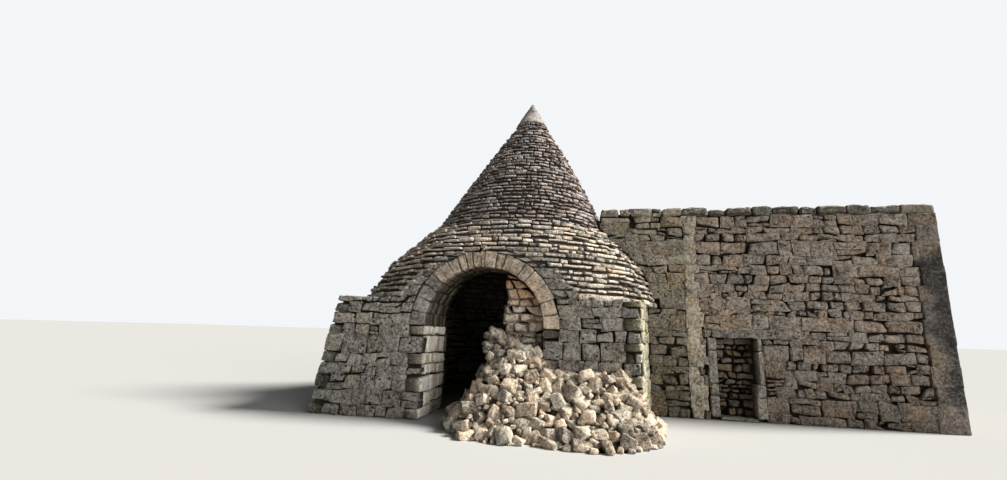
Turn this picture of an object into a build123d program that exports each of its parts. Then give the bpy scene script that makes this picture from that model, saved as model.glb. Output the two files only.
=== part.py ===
from build123d import *
from math import cos, hypot, pi, radians, sin, sqrt
import os

# A trullo with an arched front, and the flat-topped stone house that is built against it.
# Sizes are in millimetres. Z is up from the lowest point of the walls, and +Y runs away from the front.
# X starts at the arch's axis and Y at the trullo's front while the pieces are made, and in the end the
# whole building moves so that the origin is at the middle of its base.

# The trullo's walls, in plan at their top
TRULLO_WALL_TOP = 2570
FRONT_LEFT_X = -3370
FRONT_RIGHT_X = 3250
SIDE_LEFT_X = -3950
SIDE_RIGHT_X = 3900
REAR_LEFT_X = -3000
REAR_RIGHT_X = 3100
REAR_Y = 7150
LEFT_BATTER = 500
REAR_BATTER = 300

# The round room and its corbelled vault
ROOM_X = 65
ROOM_Y = 3400
ROOM_RADIUS = 2200
VAULT_TOP = 5350
VAULT_EYE_RADIUS = 220

# The arch in the front wall
ARCH_RADIUS = 1284
ARCH_SPRING = 1938
ARCH_RING_THICKNESS = 360

# The rubble wall that closes part of the arch
INFILL_EDGE_X = 430
INFILL_FACE_Y = 250
INFILL_THICKNESS = 500
INFILL_FOOT_SPREAD = 260

# The roof's outline, and the directions in degrees where its segments meet
EAVE_RADIUS = 3983
SHOULDER_RISE = 880
SHOULDER_RADIUS = 3585
SKIRT_RISE = 1890
SKIRT_TOP_RADIUS = 2620
CONE_STEP_BACK = 120
CONE_RISE = 3560
CONE_TOP_RADIUS = 440
CONE_BULGE = 60
CONE_TIERS = 4
TIER_COURSES = 8
SKIRT_COURSES = 15
COVER_THICKNESS = 300
FRONT_OVERHANG = 50
PINNACLE_RISE = 795
COLLAR_HEIGHT = 60
COLLAR_REACH = 25
TIP_X = 587
TIP_RADIUS = 45
LEAN_POWER = 1.6
SEGMENT_ENDS = (-132, -48, 45, 135, 228)

# The flat-topped house
HOUSE_FRONT_Y = 2300
HOUSE_LEFT_X = 4600
HOUSE_RIGHT_X = 10220
HOUSE_DEPTH = 5300
HOUSE_WALL = 900
HOUSE_WALL_TOP = 4880
HOUSE_VAULT_SPRING = 2300
CAP_HEIGHT = 230
CAP_DEPTH = 450
QUOIN_WIDTH = 600
OLD_QUOIN_WIDTH = 290
LINK_LEFT_X = 2560
LINK_THICKNESS = 800

# The doorway, which is walled up
DOOR_LEFT_X = 5242
DOOR_WIDTH = 798
DOOR_HEIGHT = 1800
SILL_TOP = 70
LINTEL_HEIGHT = 210
LINTEL_BEARING_LENGTH = 110
LINTEL_DEPTH = 350
JAMB_WIDTH = 215
JAMB_DEPTH = 350
DOOR_RECESS = 300
DOOR_INFILL_THICKNESS = 400

# The heap of fallen stones: a mound in the arch and a lower one along the front
ARCH_MOUND_HEIGHT = 1500
ARCH_MOUND_FOOT_X = (-700, 2300)
ARCH_MOUND_TOP_X = (400, 1150)
ARCH_MOUND_FOOT_REACH = (1500, 1300)
ARCH_MOUND_TOP_REACH = (150, 300)
SIDE_MOUND_HEIGHT = 1100
SIDE_MOUND_FOOT_X = (500, 3650)
SIDE_MOUND_TOP_X = (1400, 3000)
SIDE_MOUND_FOOT_REACH = (1650, 600)
SIDE_MOUND_TOP_REACH = (200, 100)
MOUND_SIDES = 12

# Lengths that only have to reach past everything
FAR = 12000


def prism(points, low, high):
    """An upright prism on a plan outline."""
    return extrude(Pos(0, 0, low) * make_face(Polyline(*points, close=True)), amount=high - low)


def block(x, y, z):
    """A box given by its two ends along each axis."""
    return prism([(x[0], y[0]), (x[1], y[0]), (x[1], y[1]), (x[0], y[1])], *z)


def moved_out(points, outs):
    """A plan outline, counter-clockwise, with each side moved out by its own amount."""
    lines = []
    for (ax, ay), (bx, by), out in zip(points, points[1:] + points[:1], outs):
        length = hypot(bx - ax, by - ay)
        nx, ny = (by - ay) / length, (ax - bx) / length
        lines.append((nx, ny, nx * ax + ny * ay + out))
    corners = []
    for (a, b, c), (d, e, f) in zip(lines[-1:] + lines[:-1], lines):
        cross = a * e - b * d
        corners.append(((c * e - b * f) / cross, (a * f - c * d) / cross))
    return corners


TRULLO_PLAN = [(FRONT_LEFT_X, 0), (FRONT_RIGHT_X, 0), (SIDE_RIGHT_X, ROOM_Y),
               (REAR_RIGHT_X, REAR_Y), (REAR_LEFT_X, REAR_Y), (SIDE_LEFT_X, ROOM_Y)]
TRULLO_BATTERS = [0, 0, 0, REAR_BATTER, LEFT_BATTER, LEFT_BATTER]
SKIRT_TOP = TRULLO_WALL_TOP + SKIRT_RISE
CONE_TOP = SKIRT_TOP + CONE_RISE
TIP_Z = CONE_TOP + PINNACLE_RISE
DOOR_RIGHT_X = DOOR_LEFT_X + DOOR_WIDTH
DOOR_TOP = SILL_TOP + DOOR_HEIGHT
HOUSE_REAR_Y = HOUSE_FRONT_Y + HOUSE_DEPTH
EXTRADOS = ARCH_RADIUS + ARCH_RING_THICKNESS


def plan_face(points, height):
    return Pos(0, 0, height) * make_face(Polyline(*points, close=True))


def trullo_block():
    """The trullo's walls as one mass, wider at its foot on the left and at the rear."""
    foot = plan_face(moved_out(TRULLO_PLAN, TRULLO_BATTERS), 0)
    return loft([foot, plan_face(TRULLO_PLAN, TRULLO_WALL_TOP)], ruled=True)


def room():
    """The space inside: a drum, and a pointed vault over it."""
    drum = extrude(Pos(ROOM_X, ROOM_Y, 0) * Circle(ROOM_RADIUS), amount=TRULLO_WALL_TOP)
    rise = VAULT_TOP - TRULLO_WALL_TOP
    run = ROOM_RADIUS - VAULT_EYE_RADIUS
    arc_radius = (rise ** 2 + run ** 2) / (2 * run)
    middle = rise / 2
    middle_radius = ROOM_RADIUS - arc_radius + sqrt(arc_radius ** 2 - middle ** 2)
    arc = ThreePointArc((ROOM_RADIUS, 0), (middle_radius, middle), (VAULT_EYE_RADIUS, rise))
    half = make_face([arc, Polyline((VAULT_EYE_RADIUS, rise), (0, rise), (0, 0), (ROOM_RADIUS, 0))])
    dome = Pos(ROOM_X, ROOM_Y, TRULLO_WALL_TOP) * revolve(Plane.XZ * half, Axis.Z)
    return drum + dome


def arch_passage(radius):
    """The space under the arch, or the space that holds its ring, as deep as the room's middle."""
    round_part = extrude(Plane.XZ * Pos(0, ARCH_SPRING) * Circle(radius), amount=-ROOM_Y)
    upper = block((-radius, radius), (0, ROOM_Y), (ARCH_SPRING, ARCH_SPRING + radius))
    return round_part & upper


def wedge(start, end):
    """An upright wedge at the room's middle, between two directions in degrees."""
    middle = (start + end) / 2
    ends = [(ROOM_X + FAR * cos(radians(a)), ROOM_Y + FAR * sin(radians(a))) for a in (start, middle, end)]
    return prism([(ROOM_X, ROOM_Y), *ends], 0, TIP_Z)


def centre_x(height):
    """Where the leaning roof's middle is at a height."""
    drop = (TIP_Z - height) / (TIP_Z - TRULLO_WALL_TOP)
    return TIP_X + (ROOM_X - TIP_X) * drop ** LEAN_POWER


def ring(height, radius):
    return Pos(centre_x(height), ROOM_Y, height) * Circle(radius)


def courses(bottom, top, number, radius_at):
    """Level courses of stone slabs round the leaning middle, each set back from the one below it."""
    rise = (top - bottom) / number
    found = Part()
    for course in range(number):
        foot = bottom + rise * course
        middle = foot + rise / 2
        found += Pos(centre_x(middle), ROOM_Y, foot) * extrude(Circle(radius_at(middle)), amount=rise)
    return found


def skirt_radius(height):
    """The lower roof's radius: steep up to its shoulder, and flatter above it."""
    rise = height - TRULLO_WALL_TOP
    if rise < SHOULDER_RISE:
        return EAVE_RADIUS + (SHOULDER_RADIUS - EAVE_RADIUS) * rise / SHOULDER_RISE
    share = (rise - SHOULDER_RISE) / (SKIRT_RISE - SHOULDER_RISE)
    return SHOULDER_RADIUS + (SKIRT_TOP_RADIUS - SHOULDER_RADIUS) * share


def vault_mass():
    """The mass under the lower roof's covering."""
    heights = (TRULLO_WALL_TOP, TRULLO_WALL_TOP + SHOULDER_RISE, SKIRT_TOP)
    return loft([ring(height, skirt_radius(height) - COVER_THICKNESS) for height in heights], ruled=True)


def skirt():
    """The lower roof as a solid mass with its covering's courses."""
    return courses(TRULLO_WALL_TOP, SKIRT_TOP, SKIRT_COURSES, skirt_radius)


def cone_radius(height):
    share = (height - SKIRT_TOP) / (CONE_TOP - SKIRT_TOP)
    foot_radius = SKIRT_TOP_RADIUS - CONE_STEP_BACK
    straight = foot_radius + (CONE_TOP_RADIUS - foot_radius) * share
    return straight + 4 * CONE_BULGE * share * (1 - share)


def cone_tier(number):
    """One of the upper cone's tiers, as a solid mass."""
    step = (CONE_TOP - SKIRT_TOP) / CONE_TIERS
    bottom = SKIRT_TOP + step * number
    return courses(bottom, bottom + step, TIER_COURSES, cone_radius)


def pinnacle():
    """The smooth cone on the roof's top, with a low collar round its foot."""
    body = loft([ring(CONE_TOP, CONE_TOP_RADIUS), ring(TIP_Z - TIP_RADIUS, TIP_RADIUS)], ruled=True)
    collar = extrude(ring(CONE_TOP, CONE_TOP_RADIUS + COLLAR_REACH), amount=COLLAR_HEIGHT)
    return body + collar + Pos(centre_x(TIP_Z), ROOM_Y, TIP_Z - TIP_RADIUS) * Sphere(TIP_RADIUS)


def trullo_walls():
    mass = trullo_block() - room() - block((-ARCH_RADIUS, ARCH_RADIUS), (0, ROOM_Y), (0, ARCH_SPRING))
    return mass - arch_passage(EXTRADOS)


def trullo_pieces():
    mass = trullo_walls()
    names = ["front_wall", "right_wall", "rear_right_wall", "rear_wall", "rear_left_wall", "left_wall"]
    foot = moved_out(TRULLO_PLAN, TRULLO_BATTERS)
    for name, start, end in zip(names, foot, foot[1:] + foot[:1]):
        yield name, mass & prism([(ROOM_X, ROOM_Y), start, end], 0, TRULLO_WALL_TOP)


def halves(shape):
    """The parts of a shape on the left and on the right of the arch's axis."""
    left = shape & block((-FAR, 0), (-FAR, FAR), (0, TIP_Z))
    right = shape & block((0, FAR), (-FAR, FAR), (0, TIP_Z))
    return left, right


def arch_ring():
    return arch_passage(EXTRADOS) - arch_passage(ARCH_RADIUS) - room()


def arch_infill():
    """A rough wall on the right of the arch, wider at its foot."""
    outline = [(INFILL_EDGE_X - INFILL_FOOT_SPREAD, 0), (ARCH_RADIUS, 0),
               (ARCH_RADIUS, ARCH_SPRING + ARCH_RADIUS), (INFILL_EDGE_X, ARCH_SPRING + ARCH_RADIUS),
               (INFILL_EDGE_X, ARCH_SPRING)]
    wall = Pos(0, INFILL_FACE_Y, 0) * extrude(Plane.XZ * make_face(Polyline(*outline, close=True)),
                                              amount=-INFILL_THICKNESS)
    jambs = block((-ARCH_RADIUS, ARCH_RADIUS), (0, ROOM_Y), (0, ARCH_SPRING))
    return wall & (jambs + arch_passage(ARCH_RADIUS))


def oval(ends, reach, height):
    """A flat many-sided oval between two X ends, that reaches forward and back from the trullo's front."""
    middle, half = sum(ends) / 2, (ends[1] - ends[0]) / 2
    points = []
    for number in range(MOUND_SIDES):
        turn = 2 * pi * number / MOUND_SIDES
        depth = reach[1] if sin(turn) > 0 else reach[0]
        points.append((middle + half * cos(turn), depth * sin(turn)))
    return plan_face(points, height)


def rubble_heap():
    """Fallen stones, in front of the trullo and on through the arch."""
    arch_mound = loft([oval(ARCH_MOUND_FOOT_X, ARCH_MOUND_FOOT_REACH, 0),
                       oval(ARCH_MOUND_TOP_X, ARCH_MOUND_TOP_REACH, ARCH_MOUND_HEIGHT)], ruled=True)
    side_mound = loft([oval(SIDE_MOUND_FOOT_X, SIDE_MOUND_FOOT_REACH, 0),
                       oval(SIDE_MOUND_TOP_X, SIDE_MOUND_TOP_REACH, SIDE_MOUND_HEIGHT)], ruled=True)
    return arch_mound + side_mound - trullo_walls() - arch_infill()


def roof_pieces():
    """The lower roof's covering and the vault's mass under it, in four segments each."""
    front = block((-FAR, FAR), (0, FAR), (0, TIP_Z))
    over = block((-FAR, FAR), (-FRONT_OVERHANG, FAR), (0, TIP_Z))
    ring_space = arch_passage(EXTRADOS)
    lip_space = Pos(0, -FRONT_OVERHANG, 0) * ring_space
    mass = (vault_mass() & front) - room() - ring_space
    cover = (skirt() & over) - vault_mass() - ring_space - lip_space
    for name, start, end in zip(("front", "right", "rear", "left"), SEGMENT_ENDS, SEGMENT_ENDS[1:]):
        yield "roof_skirt_" + name, cover & wedge(start, end)
        yield "vault_haunch_" + name, mass & wedge(start, end)


def link_wall():
    """The wall that closes the gap between the trullo and the house."""
    wall = block((LINK_LEFT_X, HOUSE_LEFT_X), (HOUSE_FRONT_Y, HOUSE_FRONT_Y + LINK_THICKNESS),
                 (0, HOUSE_WALL_TOP + CAP_HEIGHT))
    wall = wall - trullo_block() - skirt()
    for number in range(CONE_TIERS):
        wall -= cone_tier(number)
    return wall


def house_pieces():
    y0, y1 = HOUSE_FRONT_Y, HOUSE_FRONT_Y + HOUSE_WALL
    x0, x1 = HOUSE_LEFT_X, HOUSE_RIGHT_X
    left_in, right_in, rear_in = x0 + HOUSE_WALL, x1 - HOUSE_WALL, HOUSE_REAR_Y - HOUSE_WALL
    full = (0, HOUSE_WALL_TOP)
    lintel_x = (DOOR_LEFT_X - LINTEL_BEARING_LENGTH, DOOR_RIGHT_X + LINTEL_BEARING_LENGTH)
    lintel_z = (DOOR_TOP, DOOR_TOP + LINTEL_HEIGHT)
    jamb_y, jamb_z = (y0, y0 + JAMB_DEPTH), (SILL_TOP, DOOR_TOP)
    stones = {
        "door_lintel": block(lintel_x, (y0, y0 + LINTEL_DEPTH), lintel_z),
        "door_jamb_left": block((DOOR_LEFT_X - JAMB_WIDTH, DOOR_LEFT_X), jamb_y, jamb_z),
        "door_jamb_right": block((DOOR_RIGHT_X, DOOR_RIGHT_X + JAMB_WIDTH), jamb_y, jamb_z),
        "door_threshold": block((DOOR_LEFT_X, DOOR_RIGHT_X), (y0, y1), (0, SILL_TOP)),
    }
    quoins = {
        "corner_quoins": block((x1 - QUOIN_WIDTH, x1), (y0, y0 + QUOIN_WIDTH), full),
        "old_corner_quoins": block((x0, x0 + OLD_QUOIN_WIDTH), (y0, y0 + QUOIN_WIDTH), full),
    }
    taken = Part() + list(stones.values()) + list(quoins.values())
    walls = {
        "house_front_wall_left": block((x0, DOOR_LEFT_X), (y0, y1), full),
        "house_front_wall_right": block((DOOR_RIGHT_X, x1), (y0, y1), full),
        "house_front_wall_over_door": block((DOOR_LEFT_X, DOOR_RIGHT_X), (y0, y1),
                                            (DOOR_TOP, HOUSE_WALL_TOP)),
        "house_left_wall": block((x0, left_in), (y1, HOUSE_REAR_Y), full),
        "house_right_wall": block((right_in, x1), (y1, HOUSE_REAR_Y), full),
        "house_rear_wall": block((left_in, right_in), (rear_in, HOUSE_REAR_Y), full),
    }
    yield from stones.items()
    yield from quoins.items()
    for name, wall in walls.items():
        yield name, wall - taken
    infill_y = y0 + DOOR_RECESS
    yield "door_infill", block((DOOR_LEFT_X, DOOR_RIGHT_X), (infill_y, infill_y + DOOR_INFILL_THICKNESS),
                               (SILL_TOP, DOOR_TOP))
    yield "house_vault", house_vault((left_in, right_in), (y1, rear_in))
    cap_z = (HOUSE_WALL_TOP, HOUSE_WALL_TOP + CAP_HEIGHT)
    yield "capping_front", block((x0, x1), (y0, y0 + CAP_DEPTH), cap_z)
    yield "capping_rear", block((x0, x1), (HOUSE_REAR_Y - CAP_DEPTH, HOUSE_REAR_Y), cap_z)
    between = (y0 + CAP_DEPTH, HOUSE_REAR_Y - CAP_DEPTH)
    yield "capping_left", block((x0, x0 + CAP_DEPTH), between, cap_z)
    yield "capping_right", block((x1 - CAP_DEPTH, x1), between, cap_z)


def house_vault(across, along):
    """The flat roof, with a barrel vault under it that runs from front to rear."""
    radius = (across[1] - across[0]) / 2
    mass = block(across, along, (HOUSE_VAULT_SPRING, HOUSE_WALL_TOP))
    section = Plane.XZ * Pos(across[0] + radius, HOUSE_VAULT_SPRING) * Circle(radius)
    barrel = extrude(section, amount=-along[1])
    return mass - barrel


def building():
    pieces = {}
    for name, piece in trullo_pieces():
        if name == "front_wall":
            pieces["front_wall_left"], pieces["front_wall_right"] = halves(piece)
        else:
            pieces[name] = piece
    pieces["arch_ring_left"], pieces["arch_ring_right"] = halves(arch_ring())
    pieces["arch_infill"] = arch_infill()
    pieces.update(roof_pieces())
    for number in range(CONE_TIERS):
        pieces[f"cone_tier_{number + 1}"] = cone_tier(number) - room()
    pieces["pinnacle"] = pinnacle()
    pieces["link_wall"] = link_wall()
    pieces.update(house_pieces())
    pieces["rubble_heap"] = rubble_heap()
    return pieces


def main():
    pieces = building()
    box = Compound(children=[Compound(piece.solids()) for piece in pieces.values()]).bounding_box()
    shift = Pos(-(box.min.X + box.max.X) / 2, -(box.min.Y + box.max.Y) / 2, -box.min.Z)
    for name, piece in pieces.items():
        export_step(shift * Compound(piece.solids()), f"parts/{name}.step")


os.makedirs("parts", exist_ok=True)
main()
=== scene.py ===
from math import cos, pi, radians, sin, sqrt

import bpy
import numpy as np
from mathutils import Matrix, Vector


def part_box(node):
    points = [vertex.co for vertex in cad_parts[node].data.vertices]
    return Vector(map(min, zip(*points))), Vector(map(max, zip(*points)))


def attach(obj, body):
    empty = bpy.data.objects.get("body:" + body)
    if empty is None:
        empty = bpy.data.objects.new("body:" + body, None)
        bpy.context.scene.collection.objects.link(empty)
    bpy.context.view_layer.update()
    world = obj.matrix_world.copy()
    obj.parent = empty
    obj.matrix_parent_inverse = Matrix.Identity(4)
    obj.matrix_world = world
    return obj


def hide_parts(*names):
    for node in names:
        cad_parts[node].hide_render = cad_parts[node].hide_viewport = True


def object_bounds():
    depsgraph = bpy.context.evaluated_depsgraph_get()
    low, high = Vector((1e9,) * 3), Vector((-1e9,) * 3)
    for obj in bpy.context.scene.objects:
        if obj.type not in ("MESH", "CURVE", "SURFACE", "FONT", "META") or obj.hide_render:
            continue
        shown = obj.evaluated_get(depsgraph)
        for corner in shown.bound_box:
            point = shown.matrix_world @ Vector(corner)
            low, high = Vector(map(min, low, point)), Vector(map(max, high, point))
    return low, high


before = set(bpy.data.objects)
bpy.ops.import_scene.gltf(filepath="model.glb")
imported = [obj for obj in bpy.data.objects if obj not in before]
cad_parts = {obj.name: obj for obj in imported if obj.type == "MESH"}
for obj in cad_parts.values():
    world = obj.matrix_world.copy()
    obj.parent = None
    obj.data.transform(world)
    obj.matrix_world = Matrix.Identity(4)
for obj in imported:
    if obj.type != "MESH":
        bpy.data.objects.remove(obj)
cad_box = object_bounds()

# Where the camera stood, from the arch's foot in the trullo's front, and how it was turned, in radians
CAMERA_FROM_ARCH = (2.1228, -9.4330, 1.8709)
CAMERA_TURN_LEFT = 0.18014
CAMERA_TILT_UP = 0.19986
CAMERA_ROLL = 0.03101
CAMERA_LENS_MM = 16.078
SENSOR_MM = 36
CAMERA_REACH = 500

# The lamps' strength, width in degrees, colour and the direction that they stand in
LAMPS = {
    "key": (7.3, 16, (1.0, 0.97, 0.92), (0.74, 0.1, 0.66)),
    "fill": (2.15, 40, (1.0, 1.0, 1.0), (0.8, -0.7, 0.2)),
}
# Sky and floor, each as it lights the stones and as it is seen
SKY_COLOURS = ((0.95, 0.97, 1.0), (0.9, 0.92, 0.94))
SKY_STRENGTHS = (0.125, 1.0)
FLOOR_COLOURS = ((0.25, 0.25, 0.245), (0.46, 0.46, 0.45))
FLOOR_HALF = 300
FLOOR_DROP = 0.004

# Stonework, in metres: how far the cores stand back, how deep stones go, a corner stone's depth, the joints
CORE_RECESS = 0.13
RING_CORE_RECESS = 0.1
CONE_CORE_RECESS = 0.104
OLD_QUOIN_RECESS = 0.06
INFILL_RECESS = 0.16
DOOR_INFILL_RECESS = 0.2
STONE_DEPTH = 0.24
CORNER_DEPTH = 0.34
JOINT = 0.012
TIER_COURSES = 8
SKIRT_COURSES = 15

# How far places that are the same may differ or are kept apart, and how high the lowest points may lie
NEAR = 0.004
FOOT = 0.002
# Small steps, to measure beside an edge and not on it, or to leave a gap
SLIGHT = 0.01
HAIR = 0.001
# The share of a normal from which a face looks along an axis
FACING = 0.9
# Below this share a corner's faces are taken as one when it is moved in
ALIKE = 0.2

# What each piece's random draws start from
SEEDS = {
    "trullo_levels": 11, "house_levels": 12, "quoin_sizes": 13, "corner_quoins": 14, "old_quoins": 15,
    "house_front": 16, "house_right_wall": 17, "house_rear_wall": 18, "link_wall": 19,
    "house_left_wall": 20, "capping_front": 21, "capping_rear": 22, "capping_left": 23,
    "capping_right": 24, "house_roof": 25, "door": 27, "door_infill": 28, "ledge": 31, "heap": 33,
    "scree": 35, "arch_turns": 44, "arch_ring": 45, "spandrels": 52, "skirt": 61, "cone": 70,
    "pinnacle": 80, "room": 90, "infill": 95, "trullo_side": 100, "front_half": 200,
}

# How far stones' edges are rounded and how rough their faces are, in metres
WEAR = {
    "side": (0.03, 0.02), "front": (0.028, 0.02), "jamb": (0.025, 0.012), "level": (0.03, 0.016),
    "bed": (0.01, 0.02), "ring": (0.02, 0.011), "vault_row": (0.014, 0.009), "skirt": (0.022, 0.014),
    "cone": (0.016, 0.011), "room_vault": (0.02, 0.012), "infill": (0.034, 0.024), "quoin": (0.009, 0.007),
    "old_quoin": (0.02, 0.016), "house": (0.034, 0.02), "link": (0.03, 0.024), "capping": (0.045, 0.024),
    "squared": (0.025, 0.014), "threshold": (0.02, 0.01), "door_infill": (0.03, 0.018),
    "loose": (0.034, 0.016), "block": (0.03, 0.03), "cobble": (0.045, 0.026),
}

# How walls are laid, where it differs from the usual: aspect is a stone's length as shares of its height
FRONT_LAY = {"aspect": (1.0, 2.0)}
JAMB_LAY = {"split": 0, "corner_width": 0.6, "relief": 0.01}
LEDGE_LAY = {"depth": 0.14, "split": 0}
SHOULDER_LAY = {"depth": 0.3, "split": 0, "width": (0.1, 0.5)}
SLAB_LAY = {"depth": 0.3, "split": 0, "width": (0.14, 0.5), "joint": 0.016, "aspect": (1.5, 4.0)}
ROOM_LAY = {"depth": 0.2}
INFILL_LAY = {"relief": 0.06, "joint": 0.009, "split": 0.1, "width": (0.1, 0.42), "aspect": (0.9, 2.0),
              "wander": 0.03}
HOUSE_LAY = {"wander": 0.024, "split": 0.12, "aspect": (0.95, 2.3), "joint": 0.013}
OLD_QUOIN_LAY = {"width": (0.3, 0.5), "joint": 0.004, "relief": 0.008, "split": 0.1, "wander": 0.026}
LINK_LAY = {"aspect": (1.2, 2.6), "width": (0.22, 0.8), "wander": 0.026, "depth": 0.26}
ROOF_LAY = {"depth": 0.1, "split": 0, "relief": 0.03, "joint": 0.016, "aspect": (0.8, 1.8)}
DOOR_LAY = {"relief": 0.07, "joint": 0.014, "width": (0.1, 0.4), "aspect": (1.0, 2.6), "depth": 0.26,
            "split": 0.1}

# The share of stones with a bed behind them, and how deep the bed's front lies behind theirs
WALL_BEDS = (0.45, (0.0, 0.02))
HOUSE_BEDS = (0.5, (0.0, 0.02))
INFILL_BEDS = (0.7, (0.05, 0.09))
MORTAR_BEDS = (1.0, (0.004, 0.012))
ROOM_BEDS = (2.0, (0.06, 0.1))

BOX_LOW = np.array(cad_box[0])
BOX_HIGH = np.array(cad_box[1])
low = {name: np.array(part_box(name)[0]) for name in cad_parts}
high = {name: np.array(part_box(name)[1]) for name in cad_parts}

# The building's main places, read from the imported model
ARCH_X = high["arch_ring_left"][0]
FRONT_Y = low["front_wall_left"][1]
WALL_TOP = high["left_wall"][2]
ARCH_SPRING = low["arch_ring_left"][2]
EXTRADOS = ARCH_X - low["arch_ring_left"][0]
INTRADOS = ARCH_X - high["front_wall_left"][0]
ROOM_Y = (low["cone_tier_4"][1] + high["cone_tier_4"][1]) / 2
ROOF_FRONT_Y = low["roof_skirt_front"][1]
HOUSE_X = (low["old_corner_quoins"][0], high["corner_quoins"][0])
HOUSE_Y = (low["house_front_wall_left"][1], high["house_rear_wall"][1])
HOUSE_TOP = high["house_front_wall_left"][2]
CAP_TOP = high["capping_front"][2]
DOOR_TOP = high["door_infill"][2]
LINTEL = (low["door_lintel"], high["door_lintel"])


def dice(name, more=0):
    return np.random.default_rng(SEEDS[name] + more)


def node_arrays(name):
    """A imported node's points and triangles, with points at the same place made one."""
    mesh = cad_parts[name].data
    points = np.empty(len(mesh.vertices) * 3)
    mesh.vertices.foreach_get("co", points)
    mesh.calc_loop_triangles()
    triangles = np.empty(len(mesh.loop_triangles) * 3, int)
    mesh.loop_triangles.foreach_get("vertices", triangles)
    places, joined = np.unique(np.round(points.reshape(-1, 3), 5), axis=0, return_inverse=True)
    triangles = joined.reshape(-1)[triangles].reshape(-1, 3)
    whole = (triangles != np.roll(triangles, 1, axis=1)).all(1)
    return places, triangles[whole]


def face_normals(points, triangles):
    a, b, c = (points[triangles[:, n]] for n in range(3))
    normals = np.cross(b - a, c - a)
    return normals / np.maximum(np.linalg.norm(normals, axis=1), 1e-12)[:, None], (a + b + c) / 3


def recessed(name, wanted, depth=CORE_RECESS):
    """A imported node's mesh with the wanted faces moved in by depth, to stand behind the stones."""
    points, triangles = node_arrays(name)
    normals, centres = face_normals(points, triangles)
    chosen = wanted(centres, normals)
    touching = {}
    for triangle, normal in zip(triangles[chosen], normals[chosen]):
        for corner in triangle:
            touching.setdefault(corner, []).append(normal)
    moved = points.copy()
    for corner, found in touching.items():
        found = np.unique(np.round(found, 2), axis=0)
        moved[corner] += np.linalg.lstsq(found, np.full(len(found), -depth), rcond=ALIKE)[0]
    return np.clip(moved, BOX_LOW, BOX_HIGH), triangles


def on_planes(*planes):
    """Chooses the faces that lie in upright or level planes, each given by its axis and place."""
    def wanted(centres, normals):
        chosen = np.zeros(len(centres), bool)
        for axis, place in planes:
            chosen |= (np.abs(centres[:, axis] - place) < NEAR) & (np.abs(normals[:, axis]) > FACING)
        return chosen
    return wanted


def level_cut(names, height):
    """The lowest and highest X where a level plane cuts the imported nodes."""
    found = []
    for name in names:
        points, triangles = node_arrays(name)
        for first, second in ((0, 1), (1, 2), (2, 0)):
            start, end = points[triangles[:, first]], points[triangles[:, second]]
            crossing = (start[:, 2] - height) * (end[:, 2] - height) < 0
            share = (height - start[crossing, 2]) / (end[crossing, 2] - start[crossing, 2])
            found.append(start[crossing, 0] + share * (end[crossing, 0] - start[crossing, 0]))
    found = np.concatenate(found)
    return found.min(), found.max()


def course_rings(names, count):
    """Foot, head, middle X and radius of the roof's courses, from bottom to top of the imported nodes."""
    heights = np.linspace(low[names[0]][2], high[names[0]][2], count + 1)
    rings = []
    for foot, head in zip(heights, heights[1:]):
        left, right = level_cut(names, (foot + head) / 2)
        rings.append((foot, head, (left + right) / 2, (right - left) / 2))
    return rings


SKIRT_NODES = ["roof_skirt_front", "roof_skirt_right", "roof_skirt_rear", "roof_skirt_left"]
CONE_NODES = ["cone_tier_1", "cone_tier_2", "cone_tier_3", "cone_tier_4"]
SKIRT_RINGS = course_rings(SKIRT_NODES, SKIRT_COURSES)
RINGS = np.array(SKIRT_RINGS + [ring for name in CONE_NODES for ring in course_rings([name], TIER_COURSES)])
EAVE_RADIUS = RINGS[0][3]


def roof_ring(height):
    """The roof's middle X and its radius at one or more heights."""
    course = np.searchsorted(RINGS[:, 0], height, side="right") - 1
    course = np.clip(course, 0, len(RINGS) - 1)
    return RINGS[course, 2], RINGS[course, 3]


def half_chord(radius, offset):
    """Half the width of a circle at a distance from its middle."""
    return sqrt(max(radius ** 2 - offset ** 2, 0))


def room_circle():
    """The round room's middle X and radius, from the foot of the rear wall's curved side."""
    points = node_arrays("rear_wall")[0]
    foot = points[points[:, 2] < FOOT]
    curved = foot[np.argsort(foot[:, 1])[:-2]]
    across, away = curved[:, 0], curved[:, 1] - ROOM_Y
    terms = np.stack([2 * across, np.ones(len(across))], 1)
    middle, rest = np.linalg.lstsq(terms, across ** 2 + away ** 2, rcond=None)[0]
    return middle, sqrt(rest + middle ** 2)


ROOM_X, ROOM_RADIUS = room_circle()


def axis_stations(cells):
    """Places along one side of a stone: each has a share, a lean towards the rounding, and an end."""
    if cells == 1:
        return [(0, 0, -1), (1, 0, 1)]
    if cells == 2:
        return [(0, 0, -1), (0, 1, 0), (1, 0, 1)]
    inner = [(share, 0, 0) for share in np.linspace(0, 1, cells - 1)[1:-1]]
    return [(0, 0, -1), (0, 1, 0), *inner, (1, -1, 0), (1, 0, 1)]


def box_grid(*cells):
    """A closed box with divided sides: for each point its three stations, and the four-sided faces."""
    stations = [axis_stations(count) for count in cells]
    sizes = [len(found) for found in stations]
    index, rows = {}, []
    for key in np.ndindex(*sizes):
        if any(key[axis] in (0, sizes[axis] - 1) for axis in range(3)):
            index[key] = len(rows)
            rows.append([stations[axis][key[axis]] for axis in range(3)])
    faces = []
    for axis in range(3):
        first, second = (other for other in range(3) if other != axis)
        for end in (0, sizes[axis] - 1):
            for p, q in np.ndindex(sizes[first] - 1, sizes[second] - 1):
                quad = []
                for step_p, step_q in ((0, 0), (1, 0), (1, 1), (0, 1)):
                    key = [0, 0, 0]
                    key[axis], key[first], key[second] = end, p + step_p, q + step_q
                    quad.append(index[tuple(key)])
                faces.append(quad[::-1] if (end > 0) == (axis == 1) else quad)
    rows = np.array(rows, float)
    return rows[:, :, 0], rows[:, :, 1], rows[:, :, 2], np.array(faces)


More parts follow.
